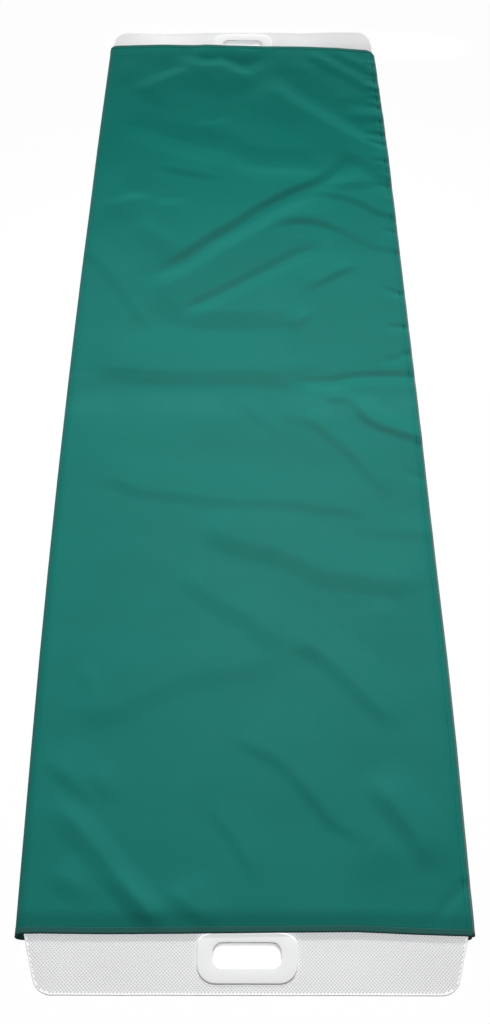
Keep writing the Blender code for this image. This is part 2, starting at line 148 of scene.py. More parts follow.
# %% A finish and its nodes
class Finish:
    """A material with one Principled shader."""

    def __init__(self, name, colour, roughness, **fixed):
        self.material = bpy.data.materials.new(name)
        self.material.use_nodes = True
        self.tree = self.material.node_tree
        self.shader = self.tree.nodes["Principled BSDF"]
        self.set("Base Color", (*colour, 1))
        self.set("Roughness", roughness)
        for key, value in fixed.items():
            self.set(key.replace("_", " "), value)

    def set(self, socket, value):
        if isinstance(value, Wire):
            self.tree.links.new(value.socket, self.shader.inputs[socket])
        else:
            self.shader.inputs[socket].default_value = value

    def node(self, kind, settings, sockets, out=0):
        """Adds a node: its settings first, then the value or link of each socket."""
        made = self.tree.nodes.new("ShaderNode" + kind)
        for name, value in settings.items():
            setattr(made, name, value)
        for key, value in sockets.items():
            if isinstance(value, Wire):
                self.tree.links.new(value.socket, made.inputs[key])
            else:
                made.inputs[key].default_value = value
        return Wire(self, made.outputs[out])


# %% [markdown]
# Some nets come back in every finish: the place on the piece, soft noise at a real size, a mix of
# two colours, and a bump. Each gets a helper that takes sizes in metres, so that a grain of half a
# millimetre is written as 0.0005.

# %% Helpers for patterns
def on_piece(finish):
    """The place on the piece, in metres, in the object's own frame."""
    return finish.node("TexCoord", {}, {}, out="Object")


def on_cloth(finish):
    """The place on the flat cloth, in metres, from the piece's own UV map."""
    return finish.node("UVMap", {"uv_map": "cloth"}, {})


def parts(finish, place):
    """The separate x, y and z of a place."""
    split = finish.node("SeparateXYZ", {}, {0: place})
    return [Wire(finish, split.socket.node.outputs[i]) for i in range(3)]


def noise(finish, place, size, detail=2.0, stretch=(1, 1, 1)):
    """Soft noise from 0 to 1 whose blobs are about `size` metres across."""
    if stretch != (1, 1, 1):
        place = finish.node("VectorMath", {"operation": "MULTIPLY"}, {0: place, 1: stretch})
    return finish.node("TexNoise", {}, {"Vector": place, "Scale": 1 / size, "Detail": detail})


def mix(finish, share, first, second):
    """A colour between two, by a share from 0 to 1."""
    colours = [c if isinstance(c, Wire) else (*c, 1) for c in (first, second)]
    sockets = {0: share, 6: colours[0], 7: colours[1]}
    return finish.node("Mix", {"data_type": "RGBA"}, sockets, out=2)


def band(finish, value, low, high):
    """0 below low, 1 above high, and smooth between."""
    settings = {"interpolation_type": "SMOOTHSTEP"}
    return finish.node("MapRange", settings, {"Value": value, "From Min": low, "From Max": high})


def bump(finish, height, depth, under=None):
    """Roughens the surface by `height`, a value from 0 to 1, times a depth in metres."""
    sockets = {"Height": height, "Distance": depth, "Strength": 1.0}
    if under is not None:
        sockets["Normal"] = under
    return finish.node("Bump", {}, sockets)


# %% [markdown]
# ## Floor and light
# The board lies on a white studio floor. A strong lamp would burn the floor to white but also
# spoil the colours, so the floor itself shines a little, only for rays that come straight from
# the camera or off a shiny surface. The rest of it is plain white paint, which keeps the shadow.

# %% White floor
STRAIGHT_RAYS = ("Is Camera Ray", "Is Glossy Ray", "Is Transmission Ray")
FLOOR_GLOW, FLOOR_HALF, FLOOR_Z = 0.90, 6, -0.0003
floor_paint = Finish("studio_floor", (0.9, 0.9, 0.9), 0.9)
path = floor_paint.node("LightPath", {}, {}).socket.node
direct, glossy, through = (Wire(floor_paint, path.outputs[name]) for name in STRAIGHT_RAYS)
seen = (direct + glossy + through).clipped()
glow = floor_paint.node("Emission", {}, {"Color": (1, 1, 1, 1), "Strength": 1.0})
paint = Wire(floor_paint, floor_paint.shader.outputs[0])
surface = floor_paint.node("MixShader", {}, {0: seen * FLOOR_GLOW, 1: paint, 2: glow})
output = floor_paint.tree.nodes["Material Output"]
floor_paint.tree.links.new(surface.socket, output.inputs["Surface"])

bm = bmesh.new()
bmesh.ops.create_grid(bm, x_segments=1, y_segments=1, size=FLOOR_HALF)
bmesh.ops.translate(bm, verts=bm.verts, vec=(0, 0, FLOOR_Z))
floor_mesh = bpy.data.meshes.new("studio_floor")
bm.to_mesh(floor_mesh)
bm.free()
floor = bpy.data.objects.new("studio_floor", floor_mesh)
floor.data.materials.append(floor_paint.material)
bpy.context.scene.collection.objects.link(floor)
floor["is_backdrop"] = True

# %% [markdown]
# The light is soft and comes from above. A wide spot lamp beyond the far end lights the board. A low
# sun behind it makes the far side of each fold bright and its near side dark, so that the folds can
# be read. It casts no shadow, because at so low an angle a fold's shadow would be a long streak. The
# far tab is seen almost from its edge and would look grey, so a small strip lamp hangs over it. The
# world fills the rest, so that together they show a colour about as bright as it is written.

# %% Lamps
def facing(away):
    """The turn of a lamp that shines against the given direction."""
    return Vector(away).to_track_quat("Z", "Y").to_matrix().to_4x4()


def add_lamp(name, kind, energy, place, turn):
    """Adds a lamp, which shines along its own -Z."""
    lamp = bpy.data.objects.new(name, bpy.data.lights.new(name, kind))
    lamp.data.energy = energy
    lamp.matrix_world = Matrix.Translation(place) @ turn
    bpy.context.scene.collection.objects.link(lamp)
    return lamp


KEY_PLACE, KEY_AIM = Vector((0.30, 1.10, 2.45)), Vector((0.03, -0.13, 0))
key = add_lamp("key_lamp", "SPOT", 160, KEY_PLACE, facing(KEY_PLACE - KEY_AIM))
key.data.shadow_soft_size = 0.35
key.data.spot_size, key.data.spot_blend = math.radians(35.5), 1.0

back = add_lamp("back_lamp", "SUN", 7.0, (0, 0, 0), facing((0.06, 0.90, 0.31)))
back.data.angle = math.radians(12)
back.data.use_shadow = back.visible_glossy = False

strip = add_lamp("tab_lamp", "AREA", 0.068, (0.11, 0.866, 0.16), Matrix.Rotation(math.radians(6), 4, "Y"))
strip.data.shape, strip.data.size, strip.data.size_y = "RECTANGLE", 0.64, 0.03
strip.data.spread = math.radians(50)
strip.visible_camera = strip.visible_glossy = False
print("lamps:", [lamp.name for lamp in (key, back, strip)])

# %% World
FILL = 0.14
world = bpy.context.scene.world or bpy.data.worlds.new("studio")
bpy.context.scene.world = world
world.use_nodes = True
net = world.node_tree
net.nodes.clear()
path, choose, studio, first, both, fill, white = (
    net.nodes.new("ShaderNode" + kind)
    for kind in ("LightPath", "MixShader", "OutputWorld", "Math", "Math", "Background", "Background")
)
for background, strength in ((fill, FILL), (white, 1.0)):
    background.inputs["Color"].default_value = (1, 1, 1, 1)
    background.inputs["Strength"].default_value = strength
both.use_clamp = True
for out, into in (
    (path.outputs[STRAIGHT_RAYS[0]], first.inputs[0]),
    (path.outputs[STRAIGHT_RAYS[1]], first.inputs[1]),
    (first.outputs[0], both.inputs[0]),
    (path.outputs[STRAIGHT_RAYS[2]], both.inputs[1]),
    (both.outputs[0], choose.inputs[0]),
    (fill.outputs[0], choose.inputs[1]),
    (white.outputs[0], choose.inputs[2]),
    (choose.outputs[0], studio.inputs["Surface"]),
):
    net.links.new(out, into)
bpy.context.scene.view_settings.view_transform = "Standard"
print("world: strength", FILL, "as light and 1.0 as background")

# %% [markdown]
# ## Finish of the cover
# The cover is a slippery coated nylon in blue-green. Its threads are finer than a pixel from
# above, but show close up, so the weave is two crossed sine waves on the flat cloth. Broad noise
# makes the dye and the sheen uneven, and a paler stripe is worn in where the board folds. Towards
# the far end, where the light falls flatter, the colour is painted a little less red, as painted
# shade for the weaker sheen there.

# %% Cover nylon
WEAVE = 0.00045


def weave_of(finish, place, size):
    """Crossed threads: high where warp and weft lie on top by turns."""
    across, along, _ = parts(finish, place)
    turn = 2 * math.pi / size
    return (across * turn).sine() * (along * turn).sine() * 0.5 + 0.5


nylon = Finish("coated_nylon", (0.003, 0.150, 0.122), 0.5, Specular_IOR_Level=0.06)
place = on_cloth(nylon)
across, along, _ = parts(nylon, place)
mottle = noise(nylon, place, 0.09, 3.0)
thread = weave_of(nylon, place, WEAVE)
dye_and_painted_sheen = mix(nylon, mottle, (0.0080, 0.139, 0.115), (0.0098, 0.151, 0.126))
# painted shade: the colour turns less red towards the far end, for the weaker sheen there
dye_and_painted_sheen = mix(nylon, band(nylon, along, 0.10, 0.62), dye_and_painted_sheen, (0.0010, 0.137, 0.111))
stripe = 1 - band(nylon, (along + 0.060).size(), 0.008, 0.034)
worn = stripe * band(nylon, noise(nylon, place, 0.11, 2.0), 0.25, 0.75)
dye_and_painted_sheen = mix(nylon, worn * 0.30, dye_and_painted_sheen, (0.022, 0.200, 0.175))
dye_and_painted_sheen = mix(nylon, thread * 0.10, dye_and_painted_sheen, (0.004, 0.110, 0.092))
nylon.set("Base Color", dye_and_painted_sheen)
nylon.set("Roughness", 0.44 + 0.10 * noise(nylon, place, 0.03, 4.0) + 0.04 * worn)
crinkle = bump(nylon, noise(nylon, place, 0.006, 3.0), 0.00005)
nylon.set("Normal", bump(nylon, thread, 0.000012, crinkle))
print("nylon:", len(nylon.tree.nodes), "nodes")

# %% [markdown]
# ## The flat cloth and how it wraps
# A real cover is cut flat and sewn into a tube with one seam, so the mesh is made the same way:
# every spot has a place across and along the flat cloth, and one function says where that spot
# lies on the board. The hems, the seam tape and the stitches use the same function, so that they
# always sit on the cloth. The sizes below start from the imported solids, and where the photograph
# shows the loose cloth a few millimetres away from them, they follow the photograph.

# %% Sizes of the cover
CLOTH = 0.00045
COVER_LEFT, COVER_RIGHT = -0.2492, 0.2475
SIDE_ROUND, LEFT_BOXY = 0.012, 0.8
COVER_TOP, COVER_MIDDLE = 0.0205, 0.00965
MOUTH, PAD_END, SAG_START, HEM = 0.815, 0.797, 0.788, 0.007
NEAR_MOUTH_TOP, FAR_MOUTH_TOP, MOUTH_LOW = 0.0186, 0.0202, 0.0012
FOLD_DIP, FOLD_REACH = 0.0001, 0.0075
FLANGE, FLANGE_ANGLE, FLANGE_TILT = 0.0085, 60, math.radians(18)
SIDE_POINTS = 24


def eased(value, start, end):
    """Eases from 0 at the start to 1 at the end, and stays level beyond them."""
    share = np.clip((value - start) / (end - start), 0, 1)
    return share * share * (3 - 2 * share)


def hump(away, width):
    """A soft bump: 1 in its middle and nearly 0 at twice its width."""
    return np.exp(-((away / width) ** 2))


def top_height(y):
    """Height of the smooth cloth over the middle of the board, without its folds."""
    mouth = np.where(np.asarray(y) > 0, FAR_MOUTH_TOP, NEAR_MOUTH_TOP)
    sag = (COVER_TOP - mouth) * eased(np.abs(y), SAG_START, MOUTH)
    return COVER_TOP - sag - FOLD_DIP * hump(y, FOLD_REACH)


def low_height(y):
    """Height of the cloth below the board: at the mouths it hangs just off the floor."""
    return MOUTH_LOW * eased(np.abs(y), PAD_END, MOUTH - HEM)


# %% Section of the cover
def round_side(start, end, edge, sign, power=1.0):
    """Points of one rounded side from one angle to another, with the outward direction.

    The share is 1 on top of the cover, 0 at half its height and -1 below. A power below 1 makes the
    side boxier.
    """
    angles = np.radians(np.linspace(start, end, SIDE_POINTS))
    level, up, turned = np.abs(np.cos(angles)), np.abs(np.sin(angles)), np.sign(np.sin(angles))
    rise = np.where(turned > 0, COVER_TOP - COVER_MIDDLE, COVER_MIDDLE)
    x = edge - sign * SIDE_ROUND + sign * SIDE_ROUND * level**power
    out = np.stack([sign * level ** (2 - power) / SIDE_ROUND, turned * up ** (2 - power) / rise], 1)
    return x, turned * up**power, out / np.linalg.norm(out, axis=1, keepdims=True)


runs = [
    round_side(FLANGE_ANGLE, 90, COVER_RIGHT, 1),
    round_side(90, -90, COVER_LEFT, -1, LEFT_BOXY),
    round_side(-90, FLANGE_ANGLE, COVER_RIGHT, 1),
]
wrap_x, wrap_share, wrap_out = (np.concatenate([run[i] for run in runs]) for i in range(3))
rest_z = COVER_MIDDLE + wrap_share * np.where(wrap_share > 0, COVER_TOP - COVER_MIDDLE, COVER_MIDDLE)
lengths = np.hypot(np.diff(wrap_x), np.diff(rest_z))
wrap_u = FLANGE + np.concatenate([[0], np.cumsum(lengths)])
CLOTH_WIDTH = wrap_u[-1] + FLANGE
TOP_START, TOP_END = wrap_u[SIDE_POINTS - 1], wrap_u[SIDE_POINTS]
LOW_START, LOW_END = wrap_u[2 * SIDE_POINTS - 1], wrap_u[2 * SIDE_POINTS]
print("cloth is", round(CLOTH_WIDTH, 4), "m across and", 2 * MOUTH, "m long")

# %% [markdown]
# ## The folds of the loose cloth
# Loose nylon never lies flat: it keeps long soft ridges and valleys where it was pulled. A cloth
# simulation would give some folds, but not these, so each is drawn as a line on the board with a
# height and a width on its far and on its near side. A narrow side makes a sharp, dark edge.

# %% Soft ridges and valleys
# Each entry, in millimetres: the points from left to right, the width beyond, the width before, the
# height. A ridge is bright on its far side and dark on its near side, and a valley the other way.
FOLDS = [
    # far half, by the hem
    ([(-196, 668), (-152, 703), (-118, 728), (-98, 744), (-84, 794)], 17, 55, 2.4),
    ([(-170, 722), (-140, 742), (-112, 766), (-96, 790)], 36, 14, -1.0),
    ([(-96, 738), (-62, 750), (-32, 758), (-18, 746), (-4, 732), (18, 712), (36, 700)], 15, 55, 2.0),
    ([(-96, 800), (-62, 783), (-36, 790), (-18, 774), (4, 764), (20, 770), (34, 786), (44, 806)], 26, 18, -2.4),
    ([(34, 796), (33, 754), (31, 706)], 5, 32, 0.9),
    ([(-75, 818), (-20, 816), (38, 818)], 10, 26, 1.2),
    ([(40, 806), (76, 800), (112, 794)], 20, 52, 0.8),
    ([(-215, 690), (-206, 740), (-190, 786)], 14, 12, 0.8),
    ([(74, 750), (104, 754), (134, 768)], 18, 40, 0.9),
    # far half, the long ridge
    ([(30, 712), (44, 698), (76, 662), (102, 636), (134, 606), (180, 562), (222, 528), (250, 506)], 18, 40, 2.1),
    ([(52, 760), (82, 722), (112, 684), (164, 628), (208, 584), (250, 544)], 30, 18, -1.2),
    ([(160, 530), (185, 520), (213, 493), (244, 452)], 16, 14, 1.0),
    ([(-82, 570), (-64, 584), (-43, 586), (-27, 600), (-8, 612)], 8, 30, 0.9),
    ([(-4, 528), (6, 534), (20, 542)], 8, 14, 0.4),
    # far half, the broad valley on the left and its ridge
    ([(-228, 590), (-170, 574), (-130, 554), (-85, 534), (-40, 520), (0, 500), (22, 484), (60, 478),
      (140, 476)], 28, 26, -1.7),
    ([(-20, 500), (10, 486), (60, 480), (150, 478)], 30, 16, -1.3),
    ([(-150, 480), (-100, 464), (-62, 454), (-25, 447)], 26, 10, 1.1),
    ([(-212, 404), (-176, 408), (-136, 400)], 30, 12, -1.1),
    ([(-236, 360), (-200, 374), (-170, 384), (-140, 380)], 12, 30, 1.3),
    ([(-160, 362), (-125, 370), (-80, 374)], 12, 30, 1.1),
    # far half, the long valley
    ([(-149, 186), (-128, 209), (-85, 247), (-48, 285), (-12, 317), (35, 363), (83, 401), (118, 423),
      (140, 440), (165, 470), (188, 514)], 10.5, 20, -3.0),
    ([(-168, 150), (-130, 176), (-90, 206), (-60, 233), (-20, 271), (30, 310), (64, 336), (96, 351),
      (130, 354), (165, 344)], 22, 44, 1.8),
    ([(-132, 232), (-92, 268), (-54, 304), (-15, 338), (32, 384), (78, 420), (130, 458)], 70, 15, 1.5),
    ([(124, 422), (160, 432), (200, 436), (232, 440)], 27, 12, 1.9),
    ([(176, 452), (204, 446), (234, 428)], 16, 11, 0.5),
    ([(96, 408), (130, 412), (165, 404), (200, 386), (224, 366), (250, 354)], 34, 9, 1.6),
    # far half, the folds in front of the valley
    ([(44, 328), (64, 341), (95, 347), (130, 341), (165, 319), (200, 292), (224, 280), (250, 277)], 42, 9, 0.95),
    ([(40, 304), (66, 322), (95, 328), (130, 322), (164, 300)], 8, 20, -1.1),
    ([(-100, 120), (-77, 138), (-27, 173), (15, 204), (57, 236), (93, 263), (130, 280)], 8, 14, -1.9),
    ([(90, 168), (112, 190), (134, 208), (160, 226), (190, 240)], 30, 7, 2.0),
    ([(-246, 262), (-214, 226), (-184, 175), (-157, 127), (-134, 82)], 26, 11, 1.0),
    ([(-188, 324), (-152, 314), (-121, 284), (-98, 264)], 14, 22, 1.0),
    ([(-164, 138), (-130, 117), (-100, 97), (-60, 88), (-25, 90), (30, 92), (92, 98)], 24, 60, -2.0),
    ([(68, 88), (90, 114), (112, 138)], 16, 7, 1.4),
    ([(-90, 126), (-40, 128), (30, 128), (80, 134)], 40, 24, 0.8),
    # the fold line
    ([(-228, -10), (-190, -17), (-120, -25), (-40, -25), (20, -24), (70, -28), (100, -26)], 18, 58, -1.4),
    ([(-232, 10), (-190, 8), (-120, 4), (-40, 4), (20, 6), (60, 2), (110, 6)], 90, 20, 1.4),
    ([(30, 0), (90, -4), (150, 0)], 14, 40, -0.7),
    ([(62, -11), (90, -13), (125, -13), (161, -5), (193, -2), (240, -1), (262, -1)], 7, 13, -1.4),
    # near half, on the right by the fold line
    ([(160, -32), (166, -54), (175, -76), (191, -92), (216, -104), (250, -119)], 19, 8, 2.1),
    ([(104, -46), (140, -45), (168, -53)], 14, 7, 1.1),
    ([(88, -70), (118, -108), (142, -134), (163, -161), (186, -200), (200, -230)], 26, 9, 1.5),
    ([(28, -58), (60, -78), (96, -88), (132, -100)], 14, 10, 0.55),
    ([(-16, -46), (8, -66), (28, -84), (52, -110), (66, -128)], 14, 9, 0.55),
    # near half, the soft folds across it
    ([(-215, -198), (-173, -198), (-142, -213), (-100, -219), (-48, -226), (4, -231), (67, -233),
      (120, -241), (200, -256)], 36, 11, 1.2),
    ([(128, -272), (180, -276), (250, -282)], 20, 12, 0.8),
    ([(-58, -262), (-34, -284), (0, -300), (40, -309), (83, -331), (109, -346), (161, -354), (213, -364),
      (238, -378)], 42, 18, 1.9),
    ([(-10, -306), (30, -318), (74, -338)], 24, 16, 0.3),
    ([(-84, -336), (-56, -372), (-20, -397), (10, -416), (34, -440), (74, -456)], 32, 15, 1.3),
    ([(-230, -548), (-165, -546), (-126, -526), (-85, -506), (-48, -494), (4, -484), (40, -473),
      (72, -458), (112, -462)], 36, 16, 0.9),
    ([(48, -440), (80, -456), (108, -478), (132, -504), (158, -536), (192, -572)], 28, 12, 1.5),
    ([(-208, -505), (-176, -494)], 12, 30, 0.5),
    ([(158, -405), (196, -416)], 16, 10, 0.5),
    # near half, by the near hem
    ([(-18, -572), (4, -589), (36, -607), (57, -625), (80, -654), (101, -683), (122, -697),
      (146, -715)], 42, 9, 1.05),
    ([(50, -618), (80, -654), (101, -683), (118, -694)], 40, 9, 0.4),
    ([(140, -626), (160, -650), (180, -680), (200, -712), (206, -752)], 28, 13, 2.2),
    ([(120, -676), (152, -712), (178, -752)], 18, 34, 1.0),
    ([(206, -722), (202, -738), (198, -766)], 9, 9, -0.3),
    ([(209, -797), (226, -775), (250, -753)], 5, 7, -0.7),
    ([(-236, -600), (-207, -629), (-184, -651), (-166, -674)], 30, 10, 1.3),
    ([(-224, -656), (-202, -680), (-181, -703), (-159, -729), (-137, -754), (-104, -792)], 14, 13, 1.6),
    ([(-226, -748), (-192, -757), (-164, -786)], 20, 12, 1.3),
    ([(-156, -738), (-132, -764), (-100, -800)], 10, 10, 0.9),
    ([(-90, -764), (-66, -779), (-42, -798)], 16, 10, 1.2),
    ([(-64, -742), (-52, -760), (-44, -784)], 14, 8, 0.5),
    ([(-178, -622), (-158, -645), (-149, -674)], 14, 9, 0.6),
    ([(-42, -654), (-26, -682), (-10, -706), (6, -736), (16, -764)], 20, 8, 0.8),
    # where the seam gathers the cloth, from the far end to the fold line
    ([(138, 796), (172, 758), (202, 733), (223, 709), (250, 694)], 13, 13, 1.4),
    ([(176, 812), (204, 784), (250, 752)], 13, 13, 1.4),
    ([(150, 676), (180, 672), (206, 674)], 10, 24, 0.5),
    ([(172, 664), (205, 652), (250, 642)], 12, 14, -0.5),
    ([(178, 622), (205, 620), (250, 618)], 15, 14, 1.2),
    ([(208, 584), (224, 580), (250, 578)], 10, 9, 0.8),
    ([(212, 566), (232, 553), (250, 548)], 8, 7, 1.0),
    ([(214, 504), (232, 502), (250, 500)], 9, 7, 0.8),
    ([(222, 490), (236, 483), (250, 472)], 5, 6, 0.5),
    ([(208, 434), (250, 424)], 6, 12, -0.5),
    ([(222, 321), (250, 312)], 5, 9, -0.5),
    ([(214, 193), (229, 178), (250, 170)], 5, 9, -0.8),
    ([(216, 108), (230, 100), (252, 101)], 5, 9, -0.8),
    ([(196, 24), (217, 31), (231, 35), (246, 48)], 5, 9, -0.75),
    ([(222, -172), (236, -186), (250, -190)], 6, 9, -0.6),
]
FOLDS = [(np.array(points) / 1000, *(size / 1000 for size in sizes)) for points, *sizes in FOLDS]
FOLD_HIGHEST, FOLD_LOWEST = 0.0030, -0.0020
CREASED, SOFTENED = 1.45, 0.10
RUNS_INTO_SEAM, RUNS_INTO_HEM = 0.243, 0.790
FADE_LENGTH, LEAST_FADE, MOST_FADE = 0.045, 0.16, 0.45
CURVE_STEPS = 4


def along_line(points, x, y):
    """For each place: how far it is from the line, with + to the left, and its share along it."""
    lengths = np.hypot(*np.diff(points, axis=0).T)
    reached = np.concatenate([[0], np.cumsum(lengths)]) / lengths.sum()
    best = np.full(x.shape, np.inf)
    signed, share = np.zeros(x.shape), np.zeros(x.shape)
    for i, length in enumerate(lengths):
        (ax, ay), (bx, by) = points[i], points[i + 1]
        t = np.clip(((x - ax) * (bx - ax) + (y - ay) * (by - ay)) / length**2, 0, 1)
        dx, dy = x - ax - t * (bx - ax), y - ay - t * (by - ay)
        away = np.hypot(dx, dy)
        side = np.sign((bx - ax) * dy - (by - ay) * dx)
        closer = away < best
        best = np.where(closer, away, best)
        signed = np.where(closer, away * side, signed)
        share = np.where(closer, reached[i] + t * (reached[i + 1] - reached[i]), share)
    return signed, share


def curved(points):
    """A smooth line through the given points."""
    known = np.array([2 * points[0] - points[1], *points, 2 * points[-1] - points[-2]])
    out = []
    for a, b, c, d in zip(known, known[1:], known[2:], known[3:]):
        for t in np.arange(CURVE_STEPS) / CURVE_STEPS:
            square, cube = 2 * a - 5 * b + 4 * c - d, 3 * b - a - 3 * c + d
            out.append(b + ((c - a) * t + square * t**2 + cube * t**3) / 2)
    return np.array(out + [known[-2]])


def waves(x, y):
    """Broad, low unevenness of the cloth, from a few crossed waves."""
    total = np.zeros(np.shape(x))
    for angle, length, phase, height in (
        (18, 0.31, 0.4, 0.00022),
        (63, 0.23, 2.1, 0.00018),
        (111, 0.17, 4.0, 0.00016),
        (152, 0.12, 1.2, 0.00012),
        (84, 0.075, 5.1, 0.00006),
    ):
        turn = math.radians(angle)
        reached = x * math.cos(turn) + y * math.sin(turn)
        total = total + height * np.sin(reached * 2 * math.pi / length + phase)
    return total


def creased(away, width):
    """From 1 on a fold's line to 0 a little beyond its width, with even flanks as creased cloth has."""
    flank = 1 - (np.sqrt((away / (CREASED * width)) ** 2 + SOFTENED**2) - SOFTENED)
    return (flank + np.sqrt(flank**2 + SOFTENED**2)) / 2


def fading(line, share):
    """Lets a fold die out at its ends, but not at an end where it runs into a hem or a seam."""
    fade, length = 1.0, np.hypot(*np.diff(line, axis=0).T).sum()
    part = max(LEAST_FADE, min(MOST_FADE, FADE_LENGTH / length))
    for end, from_end in ((line[0], share), (line[-1], 1 - share)):
        if abs(end[0]) < RUNS_INTO_SEAM and abs(end[1]) < RUNS_INTO_HEM:
            fade = fade * eased(from_end, 0, part)
    return fade


def fold_height(x, y):
    """Height of the folds at each place on the board, kept softly between the highest and the lowest."""
    total = waves(x, y)
    for points, beyond, before, height in FOLDS:
        line = curved(points)
        reach = 3 * max(beyond, before)
        low, high = line.min(0) - reach, line.max(0) + reach
        near = (x > low[0]) & (x < high[0]) & (y > low[1]) & (y < high[1])
        if not near.any():
            continue
        away, share = along_line(line, x[near], y[near])
        width = np.where(away > 0, beyond, before)
        total[near] += height * fading(line, share) * creased(away, width)
    middle, reach = (FOLD_HIGHEST + FOLD_LOWEST) / 2, (FOLD_HIGHEST - FOLD_LOWEST) / 2
    total = (total - middle) / reach
    return middle + reach * total / (1 + total**8) ** 0.125


# %% [markdown]
# The seam gathers the cloth in small puckers, most of them by the far end. The two mouths wave a
# little, and the far one is drawn back round the right corner. The sides bulge about the middle of
# the board and are drawn in at its far end. All of these are short lists, read as smooth curves.

# %% Puckers, waving mouths and bulging sides
# In millimetres: the place of each pucker along the seam, and its height.
PUCKERS = [
    (780, 1.0), (766, -0.6), (748, 0.7), (722, -0.7), (703, 0.8), (690, -0.5), (680, 0.7),
    (668, -0.5), (656, 0.7), (643, -0.5), (604, -0.6), (592, 0.6), (568, -0.6), (541, -0.5),
    (526, 0.5), (492, -0.4), (455, 0.5), (428, -0.4), (395, 0.4), (352, -0.4), (316, -0.3),
    (264, -0.4), (215, 0.3), (172, -0.4), (101, -0.4), (43, -0.4), (10, -0.3), (-60, 0.3),
    (-118, -0.4), (-260, -0.2), (-372, -0.2), (-560, -0.2), (-640, 0.2), (-700, -0.2), (-757, -0.3),
]
PUCKER_SHARE, PUCKER_LENGTH, PUCKER_DEPTH = 0.75, 0.0045, 0.013
# In millimetres, from left to right: the place, and how far the far and the near mouth hang out.
MOUTHS = [
    (-260, 1.0, -1.0), (-220, 5.0, -1.8), (-150, 10.0, -1.2), (-60, 11.5, -2.0), (20, 10.5, -3.0),
    (120, 11.2, -4.2), (180, 8.5, -1.8), (220, 4.8, -0.4), (234, 3.3, -0.2), (238.5, 2.0, -0.2),
    (241, 0.2, -0.2), (243.5, -2.2, -0.2), (246.5, -7.8, -0.2),
]
# In millimetres, from the near to the far end: the place, and how far to the right the left and the
# right side lie there.
SIDES = [
    (-815, 2.0, -1.0), (-740, 0.5, -0.2), (-670, -0.8, 0.9), (-596, -2.2, 2.3), (-475, -4.1, 3.3),
    (-341, -5.4, 2.7), (-190, -6.0, 3.0), (-30, -5.6, 3.3), (95, -4.8, 2.8), (227, -3.4, 2.3),
    (370, -1.2, 1.8), (526, 0.8, 1.2), (610, 2.3, 0.4), (710, 4.3, -1.8), (815, 6.4, -3.4),
]
HEM_X, FAR_HEM, NEAR_HEM = np.array(MOUTHS).T / 1000
SIDE_Y, LEFT_SIDE, RIGHT_SIDE = np.array(SIDES).T / 1000
BULGE_START, BULGE_END, MOUTH_WAVES = 0.12, 0.235, 0.760


def pucker_height(y):
    """Rise or fall of the cloth along the stitch line."""
    puckers = np.array(PUCKERS) / 1000
    return PUCKER_SHARE * sum(height * hump(y - place, PUCKER_LENGTH) for place, height in puckers)


def side_shift(x, y):
    """How far to the right the sides of the loose cover bulge or are drawn."""
    side = np.where(x > 0, np.interp(y, SIDE_Y, RIGHT_SIDE), np.interp(y, SIDE_Y, LEFT_SIDE))
    return eased(np.abs(x), BULGE_START, BULGE_END) * side


def hem_shift(x, y):
    """How far the cloth's mouths hang beyond or short of their mean place, along the board."""
    shift = np.where(y > 0, np.interp(x, HEM_X, FAR_HEM), -np.interp(x, HEM_X, NEAR_HEM))
    return eased(np.abs(y), MOUTH_WAVES, MOUTH) * shift


# %% [markdown]
# One function puts all of this together. A spot of the flat cloth first finds its place on the
# rounded section. The bulges, the mouths and the folds then move it, and the folds settle towards a
# mouth. The last millimetres on both sides of the cloth are the flange of the seam, which stands out
# sideways, with a small groove where its stitches pull the cloth down.

# %% Place a spot of the flat cloth
FOLDS_FROM, FOLDS_TO = 0.35, 0.90
MOUTH_FROM, MOUTH_TO, CORNER_FROM, CORNER_TO = -0.10, 0.80, 0.218, 0.238
SETTLE_START, SETTLED = 0.775, 0.55
GROOVE_WIDTH, GROOVE_DEPTH = 0.0014, 0.00008
GROOVE_FROM, GROOVE_TO, GROOVE_FOLLOWS = 0.30, 0.50, 0.35
FLANGE_START, FLANGE_GAP = 0.003, 0.00005


def cloth_place(across, along, lift=0.0):
    """Where spots of the flat cloth lie on the board, as rows of x, y and z.

    `lift` moves them outwards from the face of the cloth.
    """
    across, y, lift = (np.array(v, float) for v in np.broadcast_arrays(across, along, lift))
    over = np.clip(across, FLANGE, CLOTH_WIDTH - FLANGE)
    beyond = np.abs(across - over)
    x, share = np.interp(over, wrap_u, wrap_x), np.interp(over, wrap_u, wrap_share)
    out_x, out_z = (np.interp(over, wrap_u, wrap_out[:, i]) for i in (0, 1))

    x = x + side_shift(x, y)
    follows = np.maximum(eased(share, MOUTH_FROM, MOUTH_TO), eased(x, CORNER_FROM, CORNER_TO))
    y = y + hem_shift(x + beyond, y) * follows
    up, down = top_height(along) - COVER_MIDDLE, COVER_MIDDLE - low_height(along)
    z = COVER_MIDDLE + share * np.where(share > 0, up, down)
    folded = eased(share, FOLDS_FROM, FOLDS_TO) * (1 - SETTLED * eased(np.abs(along), SETTLE_START, MOUTH))
    z = z + folded * fold_height(x, y)

    puckers = pucker_height(y)
    z = z + hump(over - FLANGE, PUCKER_DEPTH) * (across < TOP_END) * puckers
    pulled = GROOVE_FOLLOWS * eased(y, GROOVE_FROM, GROOVE_TO) * np.maximum(0, -puckers)
    z = z - hump(across - FLANGE, GROOVE_WIDTH) * (GROOVE_DEPTH + pulled)

    face = np.where(across < CLOTH_WIDTH / 2, 1.0, -1.0)
    flange = eased(beyond, 0, FLANGE_START)
    x = x + math.cos(FLANGE_TILT) * beyond
    z = z - math.sin(FLANGE_TILT) * beyond + face * flange * (CLOTH + FLANGE_GAP)
    out_x = out_x * (1 - flange) + face * flange * math.sin(FLANGE_TILT)
    out_z = out_z * (1 - flange) + face * flange * math.cos(FLANGE_TILT)
    length = np.hypot(out_x, out_z)
    return np.stack([x + lift * out_x / length, y, z + lift * out_z / length], -1)


